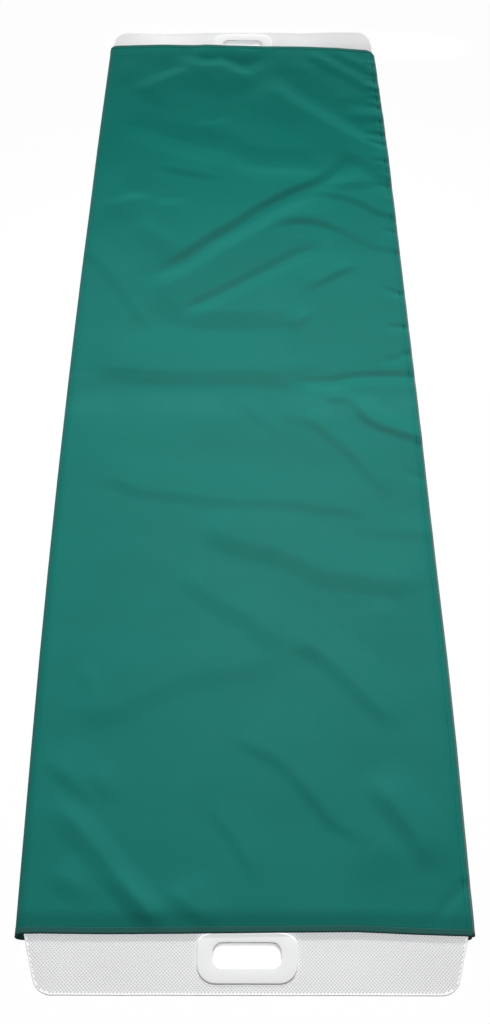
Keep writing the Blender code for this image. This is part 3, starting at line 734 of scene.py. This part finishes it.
# %% [markdown]
# ## Meshes from bmesh
# Every new piece goes through one helper, which merges doubles, turns the faces outwards, gives
# the piece its finish and links it with its place in its mesh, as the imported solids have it. Cloth
# and tape start as a flat grid and are then moved, point by point.

# %% Finish a piece
HALVES = (("near", -1), ("far", 1))


def add_piece(name, bm, finish, outwards=True, sharp=40):
    """Makes a piece of the bmesh, with edges over `sharp` degrees left sharp."""
    if outwards:
        bmesh.ops.remove_doubles(bm, verts=bm.verts, dist=1e-6)
        bmesh.ops.recalc_face_normals(bm, faces=bm.faces)
    mesh = bpy.data.meshes.new(name)
    bm.to_mesh(mesh)
    bm.free()
    mesh.shade_smooth()
    mesh.set_sharp_from_angle(angle=math.radians(sharp))
    piece = bpy.data.objects.new(name, mesh)
    piece.data.materials.append(finish.material)
    bpy.context.scene.collection.objects.link(piece)
    print(name, len(mesh.polygons), "faces")
    return piece


def stations(*stops):
    """Numbers from the first stop to the last: (start, end, step) for each run."""
    found = []
    for start, end, step in stops:
        count = max(1, round(abs(end - start) / step))
        found += list(np.linspace(start, end, count + 1))
    return np.array([found[0]] + [b for a, b in zip(found, found[1:]) if abs(b - a) > 1e-7])


def flat_cloth(columns, rows):
    """A grid of cloth whose lines lie at the given places across and along, with a UV map."""
    bm = bmesh.new()
    bmesh.ops.create_grid(bm, x_segments=len(columns) - 1, y_segments=len(rows) - 1, size=0.5)
    for vert in bm.verts:
        column = round((vert.co.x + 0.5) * (len(columns) - 1))
        row = round((vert.co.y + 0.5) * (len(rows) - 1))
        vert.co = (columns[column], rows[row], 0)
    layer = bm.loops.layers.uv.new("cloth")
    for face in bm.faces:
        for corner in face.loops:
            corner[layer].uv = corner.vert.co.xy
    return bm


def laid_cloth(name, finish, columns, rows, placed):
    """A piece of flat cloth, moved to the places that `placed` gives for it."""
    bm = flat_cloth(columns, rows)
    flat = np.array([vert.co for vert in bm.verts])
    for vert, spot in zip(bm.verts, placed(flat[:, 0], flat[:, 1])):
        vert.co = spot
    bmesh.ops.reverse_faces(bm, faces=bm.faces)
    return add_piece(name, bm, finish, outwards=False, sharp=180)


def thicken(piece, thickness):
    """Gives a tape its thickness, towards its inside."""
    wall = piece.modifiers.new("Tape thickness", "SOLIDIFY")
    wall.thickness, wall.offset = thickness, -1


def extrude(bm, edges):
    """Extrudes edges and gives the new edges and the new points."""
    made = bmesh.ops.extrude_edge_only(bm, edges=edges)["geom"]
    return [[item for item in made if isinstance(item, kind)] for kind in (bmesh.types.BMEdge, bmesh.types.BMVert)]


# %% [markdown]
# ## The cover
# One rectangle of nylon, about 1.03 by 1.63 metres, runs from the raw edge at the seam over the
# top, round the left side, below, and back to the seam. The grid is fine on top, where the folds
# are, and coarse below. Near the fold line its rows are close, because it bends there.

# %% Cut the nylon and wrap it
columns = stations(
    (0, 0.006, 0.002), (0.006, 0.011, 0.00125), (0.011, TOP_START, 0.0025), (TOP_START, TOP_END, 0.0033),
    (TOP_END, LOW_START, 0.0064), (LOW_START, LOW_END, 0.040), (LOW_END, CLOTH_WIDTH - FLANGE, 0.0050),
    (CLOTH_WIDTH - FLANGE, CLOTH_WIDTH, 0.003),
)
edge = MOUTH - 0.0008
rows = stations(
    (-edge, -0.780, 0.0035), (-0.780, -0.130, 0.0042), (-0.130, -0.010, 0.0032), (-0.010, 0.010, 0.001),
    (0.010, 0.790, 0.0030), (0.790, edge, 0.0030),
)
cover = laid_cloth("slide_cover", nylon, columns, rows, cloth_place)
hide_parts("near_cover", "far_cover")
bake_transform(cover)

# %% [markdown]
# ## The half boards
# Each half board is a sheet of white plastic. Its tab has a fine raised lattice for grip, with a
# small pit in every diamond. A grid turned by 45 degrees gives the lattice. Plane cuts trim it to
# the outline, and an inset of each face sinks the pits, which are painted darker as painted shade.
# The long part inside the cover is plain.
# The tabs are not alike in the photograph: the near one tapers more, and the far one bends up
# towards its end, most of all on the right. Both are a little warped across.

# %% White plastic
plastic = Finish("board_plastic", (0.86, 0.86, 0.87), 0.4, Specular_IOR_Level=0.35)
place = on_piece(plastic)
pit = plastic.node("Attribute", {"attribute_name": "pit"}, {}, out="Fac")
cloud = noise(plastic, place, 0.05, 4.0)
scuff = band(plastic, noise(plastic, place, 0.006, 3.0, (1, 0.10, 1)), 0.60, 0.72)
shade = mix(plastic, cloud, (0.84, 0.84, 0.845), (0.88, 0.88, 0.88))
# painted shade: the pits are painted darker, for the shade that falls in them
shade = mix(plastic, pit * 0.74, shade, (0.47, 0.475, 0.485))
plastic.set("Base Color", mix(plastic, scuff * 0.12, shade, (0.58, 0.59, 0.62)))
plastic.set("Roughness", 0.36 + 0.10 * cloud + 0.12 * scuff)
plastic.set("Normal", bump(plastic, noise(plastic, place, 0.0012, 3.0), 0.00002))

# %% Sizes of the boards and grips
BOARD_HALF, BOARD_START, BOARD_END, BOARD_LOW, BOARD_HIGH = 0.2415, 0.0010, 0.875, 0.0084, 0.0109
# For the near and the far tab: how far a side tapers, over what length, and the corner's radius.
TAB_SHAPE = {-1: (0.0197, 0.0665, 0.022), 1: (0.004, 0.040, 0.026)}
LATTICE_X, LATTICE_Y, PIT_INSET, PIT_DEPTH, RIM = 0.0037, 0.0039, 0.0008, 0.00025, 0.0004
TAB_START, GRIP_Y, OFF_MIDDLE = 0.795, 0.8345, 0.0026
SLOT_WIDTH, SLOT_DEPTH, SLOT_CORNER = 0.075, 0.028, 0.011
GRIP_BORDER, GRIP_CORNER, BARREL = 0.015, 0.019, 0.0018
HOLE, HOLE_MARGIN, PLAIN_RING = BARREL + 0.0003, 0.0012, 0.006
WHOLE_DIAMOND = 0.98 * LATTICE_X * LATTICE_Y / 2
CURL_START = 0.790
CURL_X = (-0.24, -0.16, -0.05, 0.05, 0.14, 0.20, 0.24)
CURL = (0.0, 0.0008, 0.0046, 0.0064, 0.0078, 0.0098, 0.0104)
WARP_START, WARP_END = 0.822, 0.872
WARP_X = (-0.245, -0.195, -0.145, -0.085, -0.05, 0.05, 0.075, 0.108, 0.165, 0.245)
WARPS = {
    1: (-0.0004, 0.0006, -0.0012, -0.0002, 0, 0, -0.0002, -0.0013, 0.0004, -0.0006),
    -1: (-0.0006, 0.0001, -0.0005, 0.0001, 0, 0, 0.0001, 0.0004, -0.0003, -0.0006),
}
# The underside is cut into this grid, so that it can bend with the tab.
UNDER_X, UNDER_Y = np.linspace(-0.228, 0.228, 25), np.linspace(CURL_START, 0.868, 10)


def curl(x, y):
    """How far the tab of the far half bends up towards its end."""
    return np.interp(x, CURL_X, CURL) * (max(0, abs(y) - CURL_START) / (BOARD_END - CURL_START)) ** 1.5


def slot_radius(outward):
    """Corner radius of the hand slot, grown by `outward`."""
    return SLOT_CORNER + outward / GRIP_BORDER * (GRIP_CORNER - SLOT_CORNER)


def slot_distance(spot, outward):
    """How far a spot is outside the hand slot grown by `outward`, and the direction outwards."""
    radius = slot_radius(outward)
    beside = abs(spot.x) - SLOT_WIDTH / 2 - outward + radius
    past = abs(spot.y - GRIP_Y) - SLOT_DEPTH / 2 - outward + radius
    side = Vector((math.copysign(1, spot.x), math.copysign(1, spot.y - GRIP_Y)))
    if beside > 0 and past > 0:
        corner = Vector((beside, past))
        return corner.length - radius, corner.normalized() * side
    away = Vector((1, 0)) if beside > past else Vector((0, 1))
    return max(beside, past) - radius, away * side


# %% Cut a half board
CORNER_CUTS, DOUBLES = 8, 0.00015


def tab_cuts(taper, taper_length, corner):
    """The straight cuts that trim the sheet: a point and the outward direction of each."""
    cuts = [((0, BOARD_END), (0, 1))]
    slope = Vector((taper_length, taper)).normalized()
    low_y = BOARD_END - taper_length
    middle_y = BOARD_END - corner
    middle_x = BOARD_HALF - (corner + slope.y * (middle_y - low_y)) / slope.x
    for sign in (-1, 1):
        cuts.append(((sign * BOARD_HALF, 0), (sign, 0)))
        cuts.append(((sign * BOARD_HALF, low_y), (sign * slope.x, slope.y)))
        first = math.atan2(slope.y, slope.x)
        for i in range(1, CORNER_CUTS + 1):
            turn = first + (math.pi / 2 - first) * i / (CORNER_CUTS + 1)
            out = Vector((sign * math.cos(turn), math.sin(turn)))
            cuts.append((Vector((sign * middle_x, middle_y)) + corner * out, out))
    return [((Vector(point) - RIM * Vector(out)).to_3d(), Vector(out).to_3d()) for point, out in cuts]


def half_board(name, side):
    """The half board of one side, made at the far end and mirrored if it is the near one."""
    bm = bmesh.new()
    count = 2 * math.ceil(BOARD_HALF / LATTICE_X + (BOARD_END - TAB_START) / 2 / LATTICE_Y + 2)
    bmesh.ops.create_grid(bm, x_segments=count, y_segments=count, size=count / math.sqrt(8))
    bmesh.ops.rotate(bm, verts=bm.verts, matrix=Matrix.Rotation(math.pi / 4, 3, "Z"))
    bmesh.ops.scale(bm, verts=bm.verts, vec=(LATTICE_X, LATTICE_Y, 1))
    bmesh.ops.translate(bm, verts=bm.verts, vec=(0, (BOARD_END + TAB_START) / 2, BOARD_HIGH))
    cuts = tab_cuts(*TAB_SHAPE[side])
    for point, out in cuts + [(Vector((0, TAB_START, 0)), Vector((0, -1, 0)))]:
        geometry = [*bm.verts, *bm.edges, *bm.faces]
        bmesh.ops.bisect_plane(bm, geom=geometry, plane_co=point, plane_no=out, clear_outer=True)
    bmesh.ops.remove_doubles(bm, verts=bm.verts, dist=DOUBLES)

    # the hand slot
    inside = [face for face in bm.faces if slot_distance(face.calc_center_median(), HOLE)[0] < HOLE_MARGIN]
    bmesh.ops.delete(bm, geom=inside, context="FACES")
    for vert in bm.verts:
        gap, out = slot_distance(vert.co, HOLE)
        if vert.is_boundary and gap < PLAIN_RING:
            vert.co.xy -= out * gap

    # a pit in every whole diamond, its points marked for the painted shade in the finish
    level = bm.verts.layers.float.new("pit")
    whole = [face for face in bm.faces if len(face.verts) == 4 and face.calc_area() > WHOLE_DIAMOND]
    diamonds = [face for face in whole if slot_distance(face.calc_center_median(), HOLE)[0] > PLAIN_RING]
    bmesh.ops.inset_individual(bm, faces=diamonds, thickness=PIT_INSET, depth=-PIT_DEPTH, use_even_offset=True)
    for face in diamonds:
        for vert in face.verts:
            vert[level] = 1.0

    # the plain part, as far as the middle of the whole board
    line = [edge for edge in bm.edges if edge.is_boundary and max(v.co.y for v in edge.verts) < TAB_START + 1e-5]
    for vert in extrude(bm, line)[1]:
        vert.co.y = BOARD_START + RIM
    cuts.append((Vector((0, BOARD_START + RIM, 0)), Vector((0, -1, 0))))

    # the edges, which are a little rounded, and the wall of the slot
    rim = [edge for edge in bm.edges if edge.is_boundary]
    slot_rim = [edge for edge in rim if all(abs(slot_distance(v.co, HOLE)[0]) < 1e-5 for v in edge.verts)]
    rim = [edge for edge in rim if edge not in slot_rim]
    depth = BOARD_HIGH - BOARD_LOW
    for outward, down in ((RIM, RIM), (0, depth - 2 * RIM), (-RIM, RIM)):
        rim, points = extrude(bm, rim)
        for vert in points:
            reach = RIM if outward < 0 else 0
            on = [out for point, out in cuts if abs((vert.co - point).dot(out) - reach) < 3e-5]
            vert.co += outward * sum(on, Vector()).normalized()
            vert.co.z -= down
    slot_rim, points = extrude(bm, slot_rim)
    bmesh.ops.translate(bm, verts=points, vec=(0, 0, -depth))

    # the underside
    bmesh.ops.triangle_fill(bm, edges=rim + slot_rim, use_beauty=True, normal=(0, 0, -1))
    for point, out in [((0, y, 0), (0, 1, 0)) for y in UNDER_Y] + [((x, 0, 0), (1, 0, 0)) for x in UNDER_X]:
        low = [face for face in bm.faces if max(v.co.z for v in face.verts) < BOARD_LOW + 1e-6]
        under = [face for face in low if max(v.co.y for v in face.verts) > UNDER_Y[0] + 1e-5]
        geometry = {item for face in under for item in (face, *face.edges, *face.verts)}
        bmesh.ops.bisect_plane(bm, geom=list(geometry), plane_co=point, plane_no=out, dist=1e-6)

    for vert in bm.verts:
        warp = np.interp(vert.co.x, WARP_X, WARPS[side]) * eased(vert.co.y, WARP_START, WARP_END)
        vert.co.z += warp + (side > 0) * curl(*vert.co.xy)
    bmesh.ops.scale(bm, verts=bm.verts, vec=(1, side, 1))
    bmesh.ops.translate(bm, verts=bm.verts, vec=(OFF_MIDDLE, 0, 0))
    piece = add_piece(name, bm, plastic)
    return piece


for half, side in HALVES:
    piece = half_board(half + "_half_board", side)
    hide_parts(half + "_board")
    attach(piece, half + "_half")

# %% [markdown]
# ## The hand grips
# A grip is a moulded ring that snaps into the slot of the board from above, with a collar below.
# Both are one section carried round the slot. A plain rectangle with bevelled corners is the first
# loop, and each further point of the section is one more extrusion of that loop's edges. Beside the
# cover the ring is slimmer than round the rest of the slot.

# %% Grip plastic
grip_plastic = Finish("grip_plastic", (0.80, 0.80, 0.82), 0.35, Specular_IOR_Level=0.4)
place = on_piece(grip_plastic)
cloud = noise(grip_plastic, place, 0.02, 3.0)
grip_plastic.set("Base Color", mix(grip_plastic, cloud, (0.765, 0.768, 0.775), (0.805, 0.808, 0.812)))
grip_plastic.set("Roughness", 0.30 + 0.12 * cloud)
grip_plastic.set("Normal", bump(grip_plastic, noise(grip_plastic, place, 0.0009, 2.0), 0.000015))


# %% Carry a section round the slot
def corner_of(vert, outward):
    """The middle of the corner arc that a point of the loop belongs to."""
    reach = outward - slot_radius(outward)
    x, y = SLOT_WIDTH / 2 + reach, SLOT_DEPTH / 2 + reach
    return Vector((math.copysign(x, vert.co.x), math.copysign(y, vert.co.y)))


def slot_ring(name, section, side):
    """A closed ring whose section is given as (outward, height) points."""
    bm = bmesh.new()
    outward, z = section[0]
    bmesh.ops.create_grid(bm, x_segments=1, y_segments=1, size=0.5)
    bmesh.ops.scale(bm, verts=bm.verts, vec=(SLOT_WIDTH + 2 * outward, SLOT_DEPTH + 2 * outward, 1))
    bmesh.ops.translate(bm, verts=bm.verts, vec=(0, 0, z))
    rounding = {"offset": slot_radius(outward), "segments": 8, "profile": 0.5, "affect": "VERTICES"}
    bmesh.ops.bevel(bm, geom=bm.verts[:], material=-1, **rounding)
    bmesh.ops.delete(bm, geom=bm.faces[:], context="FACES_ONLY")
    loop = bm.edges[:]
    for next_outward, next_z in section[1:] + section[:1]:
        loop, points = extrude(bm, loop)
        for vert in points:
            turn = (vert.co.xy - corner_of(vert, outward)) / slot_radius(outward)
            vert.co.xy = corner_of(vert, next_outward) + slot_radius(next_outward) * turn
            vert.co.z = next_z
        outward = next_outward
    for vert in bm.verts:
        vert.co.y += SLIMMER * max(0, -vert.co.y - SLOT_DEPTH / 2)
    bmesh.ops.translate(bm, verts=bm.verts, vec=(0, GRIP_Y, 0))
    for vert in bm.verts:
        vert.co.z += (side > 0) * curl(*vert.co.xy)
    bmesh.ops.scale(bm, verts=bm.verts, vec=(1, side, 1))
    bmesh.ops.translate(bm, verts=bm.verts, vec=(OFF_MIDDLE, 0, 0))
    piece = add_piece(name, bm, grip_plastic)
    return piece


# How much slimmer the ring is beside the cover: 0 would be as wide as elsewhere.
GRIP_LOW, GRIP_SEAT, SLIMMER = 0.0049, 0.0112, 0.38
TOP_SECTION = [
    (0.0018, GRIP_LOW), (0.0018, GRIP_SEAT), (0.0158, GRIP_SEAT), (0.0162, GRIP_SEAT + 0.0004), (0.0162, 0.0134),
    (0.0161, 0.0139), (0.0158, 0.0142), (0.0153, 0.0144), (0.0145, 0.01445), (0.0006, 0.01445), (-0.0002, 0.0144),
    (-0.0008, 0.0142), (-0.0011, 0.0139), (-0.0012, 0.0133), (-0.0012, GRIP_LOW + 0.0004), (-0.0008, GRIP_LOW),
]
COLLAR_SECTION = [
    (0.0021, GRIP_LOW), (0.0142, GRIP_LOW), (0.0150, 0.0057), (0.0150, 0.0077), (0.0146, 0.0081), (0.0021, 0.0081),
]
for half, side in HALVES:
    for part, section in (("top", TOP_SECTION), ("bottom", COLLAR_SECTION)):
        piece = slot_ring(half + "_hand_grip_" + part, section, side)
        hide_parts(half + "_grip_" + part)
        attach(piece, half + "_half")

# %% [markdown]
# ## The foam pads
# Four sheets of closed-cell foam lie above and below the boards. Foam is cut from a block, so its
# faces are flat and its edges only a little rounded. The long edges are divided, so that no face is
# long and thin. Along the open mouth the pads can be felt through the cloth.

# %% Foam
foam = Finish("pad_foam", (0.60, 0.61, 0.62), 0.9, Specular_IOR_Level=0.2)
place = on_piece(foam)
cells = foam.node("TexVoronoi", {}, {"Vector": place, "Scale": 900.0})
cloud = noise(foam, place, 0.03, 4.0)
foam.set("Base Color", mix(foam, cloud, (0.54, 0.55, 0.56), (0.64, 0.645, 0.65)))
foam.set("Roughness", 0.85 + 0.1 * cloud)
foam.set("Normal", bump(foam, cells, 0.0002))

# %% Four pads
EDGE_ROUND, EDGE_STEPS, LONG_EDGE, EDGE_PARTS = 0.0025, 4, 0.1, 25
for half, _ in HALVES:
    for part in ("top", "bottom"):
        low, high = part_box(half + "_pad_" + part)
        bm = bmesh.new()
        bmesh.ops.create_cube(bm, size=1)
        bmesh.ops.scale(bm, verts=bm.verts, vec=high - low)
        bmesh.ops.translate(bm, verts=bm.verts, vec=(low + high) / 2)
        rounding = {"offset": EDGE_ROUND, "segments": EDGE_STEPS, "profile": 0.5, "affect": "EDGES"}
        bmesh.ops.bevel(bm, geom=bm.edges[:], material=-1, **rounding)
        long = [edge for edge in bm.edges if edge.calc_length() > LONG_EDGE]
        bmesh.ops.subdivide_edges(bm, edges=long, cuts=EDGE_PARTS - 1, use_grid_fill=True)
        piece = add_piece(half + "_foam_pad_" + part, bm, foam)
        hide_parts(half + "_pad_" + part)
        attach(piece, half + "_half")

# %% [markdown]
# ## The hinge tape
# A wide woven tape glued across both upper pads is the hinge. It is one piece over both halves,
# and it sags a little into the gap between the boards.

# %% Woven tape
webbing = Finish("hinge_tape", (0.08, 0.10, 0.10), 0.8, Specular_IOR_Level=0.3)
place = on_cloth(webbing)
thread = weave_of(webbing, place, 0.0016)
webbing.set("Base Color", mix(webbing, thread, (0.050, 0.065, 0.065), (0.105, 0.125, 0.125)))
webbing.set("Roughness", 0.70 + 0.15 * noise(webbing, place, 0.01, 3.0))
webbing.set("Normal", bump(webbing, thread, 0.0001))

# %% One tape over both halves
TAPE_HALF, TAPE_LEAF, TAPE_TOP, TAPE_WALL = 0.2195, 0.1099, 0.0184, 0.0002
TAPE_DIP, TAPE_REACH = 0.0024, 0.0065
across = stations((-TAPE_HALF, TAPE_HALF, 0.02))
along = stations((-TAPE_LEAF, -0.02, 0.015), (-0.02, 0.02, 0.001), (0.02, TAPE_LEAF, 0.015))
bm = flat_cloth(across, along)
for vert in bm.verts:
    vert.co.z = TAPE_TOP - TAPE_DIP * hump(vert.co.y, TAPE_REACH)
hinge = add_piece("hinge_tape", bm, webbing, outwards=False, sharp=180)
thicken(hinge, TAPE_WALL)
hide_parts("near_hinge_leaf", "far_hinge_leaf")
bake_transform(hinge)

# %% [markdown]
# ## Hems, seam tape and stitches
# Each mouth of the cover is bound with a narrow tape folded over its edge. The long seam has a
# tape too, folded round both raw edges of the nylon, so that its end view is a flat U. The same
# strips can be laid by giving the function that places the cloth a small lift. The far hem is
# painted lighter, as painted light. The near one is painted dark, as painted shade, where it bends
# over the edge and low down by the floor.

# %% Binding tapes
binding = Finish("hem_binding", (0.040, 0.105, 0.090), 0.6, Specular_IOR_Level=0.2)
seam_band = Finish("seam_binding", (0.10, 0.15, 0.14), 0.7, Specular_IOR_Level=0.2)
HEM_BEND = 0.00765
for finish, dark, light in (
    (binding, (0.008, 0.066, 0.056), (0.018, 0.088, 0.077)),
    (seam_band, (0.070, 0.110, 0.100), (0.120, 0.165, 0.152)),
):
    place = on_cloth(finish)
    thread = weave_of(finish, place, 0.0009)
    cloud = noise(finish, place, 0.04, 3.0)
    colour = mix(finish, cloud * 0.7 + thread * 0.3, dark, light)
    if finish is binding:
        _, route, _ = parts(finish, place)
        _, y, z = parts(finish, on_piece(finish))
        # painted light and shade: the far hem is painted lighter, and the near one dark where it bends over the
        # edge and low down by the floor
        far = band(finish, y, -0.1, 0.1)
        bend = (1 - band(finish, (route - HEM_BEND).size(), 0.0016, 0.0027)) * (1 - far)
        shaded = (bend + (1 - band(finish, z, 0.004, 0.009)) * (1 - far)).clipped()
        colour = mix(finish, far, colour, (0.014, 0.125, 0.106))
        colour = mix(finish, shaded * 0.85, colour, (0.001, 0.010, 0.009))
    finish.set("Base Color", colour)
    finish.set("Roughness", 0.55 + 0.2 * cloud)
    finish.set("Normal", bump(finish, thread, 0.00006))


# %% Lay the strips
STRIP = 0.0003
# In millimetres: the way across the tape, the place it has beyond the cloth's mouth, and its lift.
HEM_TAPE = [
    (0, -7, 0.12), (0.4, -6.6, 0.18), (3.4, -3.4, 0.3), (5.9, -0.9, 0.4), (6.3, -0.5, 0.4), (6.8, -0.1, 0.35),
    (7.2, 0.2, 0.1), (7.6, 0.25, -0.2), (8, 0.2, -0.5), (8.5, -0.1, -0.75), (9, -0.5, -0.8), (12.1, -3.6, -0.9),
    (14.9, -6.6, -0.9), (15.3, -7, -0.85),
]
# The same for the seam tape, with its place inside the raw edges of the cloth.
SEAM_TAPE = [
    (0, 2.4, 0.4), (0.8, 1.2, 0.42), (1.7, 0.1, 0.4), (2.2, -0.3, 0.15), (2.7, -0.4, -0.5), (3.2, -0.3, 0.15),
    (3.7, 0.1, 0.4), (4.6, 1.2, 0.42), (5.4, 2.4, 0.4),
]
TOP_LAYER_ENDS, LOW_LAYER_STARTS = 0.0022, 0.0032
HEM_ROUTE, HEM_ALONG, HEM_LIFT = np.array(HEM_TAPE).T / 1000
TAPE_ROUTE, TAPE_ACROSS, TAPE_LIFT = np.array(SEAM_TAPE).T / 1000


def strip_piece(name, finish, columns, rows, placed):
    """A thin tape, folded as `placed` says."""
    piece = laid_cloth(name, finish, columns, rows, placed)
    thicken(piece, STRIP)
    return piece


def hem_place(across, route, side):
    """Where spots of a hem tape lie; the near one is laid from its other edge, to face outwards too."""
    route = route if side > 0 else HEM_ROUTE[-1] - route
    along = MOUTH + np.interp(route, HEM_ROUTE, HEM_ALONG)
    return cloth_place(across, side * along, np.interp(route, HEM_ROUTE, HEM_LIFT))


def seam_place(route, along):
    """Where spots of the seam tape lie: on the upper layer of cloth, round the edges, on the lower."""
    across = np.interp(route, TAPE_ROUTE, TAPE_ACROSS)
    lift = np.interp(route, TAPE_ROUTE, TAPE_LIFT)
    share = np.clip((route - TOP_LAYER_ENDS) / (LOW_LAYER_STARTS - TOP_LAYER_ENDS), 0, 1)[:, None]
    return cloth_place(across, along, lift) * (1 - share) + cloth_place(CLOTH_WIDTH - across, along, lift) * share


hem_columns = stations(
    (0.0005, 0.011, 0.0015), (0.011, TOP_START, 0.0025), (TOP_START, TOP_END, 0.0052),
    (TOP_END, LOW_START, 0.0064), (LOW_START, LOW_END, 0.02), (LOW_END, CLOTH_WIDTH - 0.0005, 0.0040),
)
for half, side in HALVES:
    hem_rows = HEM_ROUTE if side > 0 else HEM_ROUTE[-1] - HEM_ROUTE[::-1]
    piece = strip_piece(
        half + "_hem", binding, hem_columns, hem_rows, lambda across, route: hem_place(across, route, side)
    )
    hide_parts(half + "_mouth_binding")
    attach(piece, half + "_half")

seam_rows = stations((-edge, -0.009, 0.0045), (-0.009, 0.009, 0.001), (0.009, 0.52, 0.0045), (0.52, edge, 0.0026))
seam_tape = strip_piece("seam_tape", seam_band, TAPE_ROUTE, seam_rows, seam_place)
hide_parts("near_seam_binding", "far_seam_binding")
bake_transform(seam_tape)

# %% Stitches
dark_thread = Finish("sewing_thread", (0.004, 0.050, 0.042), 0.7, Specular_IOR_Level=0.2)
place = on_piece(dark_thread)
cloud = noise(dark_thread, place, 0.003)
dark_thread.set("Base Color", mix(dark_thread, cloud, (0.003, 0.036, 0.030), (0.008, 0.075, 0.064)))
dark_thread.set("Normal", bump(dark_thread, noise(dark_thread, place, 0.0005), 0.0001))
STITCH_SPACING, STITCH, THREAD, STITCH_RISE = 0.0034, 0.0026, 0.00050, 0.00012
LOOK_AHEAD, LOOK_OUT = 0.0005, 0.001
FREE_ENDS, HEM_LINE, SEAM_SUNK = 0.003, MOUTH - HEM - 0.0009, 0.00026


def sew(name, across, along, by_across, sunk=0.0):
    """A row of stitches: a stretched ball at each spot, turned along the row and `sunk` in the cloth."""
    here = cloth_place(across, along)
    there = cloth_place(across + LOOK_AHEAD * by_across, along + LOOK_AHEAD * (not by_across))
    above = cloth_place(across, along, LOOK_OUT)
    bm = bmesh.new()
    for spot, next_spot, over, depth in zip(here, there, above, np.broadcast_to(sunk, across.shape)):
        line = Vector(next_spot - spot).normalized()
        out = Vector(over - spot).normalized()
        side = out.cross(line).normalized()
        turn = Matrix((line, side, line.cross(side))).transposed().to_4x4()
        size = Matrix.Diagonal((STITCH / 2, THREAD / 2, THREAD / 2, 1))
        placed = Matrix.Translation(Vector(spot) + out * float(STITCH_RISE - depth))
        bmesh.ops.create_icosphere(bm, subdivisions=1, radius=1, matrix=placed @ turn @ size)
    piece = add_piece(name, bm, dark_thread, outwards=False)
    return piece


across = np.arange(FREE_ENDS, CLOTH_WIDTH - FREE_ENDS, STITCH_SPACING)
for half, side in HALVES:
    piece = sew(half + "_hem_stitches", across, np.full(across.shape, side * HEM_LINE), True)
    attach(piece, half + "_half")
along = np.arange(-edge + 0.002, edge - 0.002, STITCH_SPACING)
sunk = SEAM_SUNK * eased(along, 0.55, 0.35)
seam_stitches = sew("seam_stitches", np.full(along.shape, FLANGE), along, False, sunk)
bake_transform(seam_stitches)

# %% [markdown]
# ## The size
# The last cell prints the size of everything shown, in millimetres.

# %% Size in millimetres
low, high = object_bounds()
print("size in mm:", [round(1000 * (b - a), 1) for a, b in zip(low, high)])
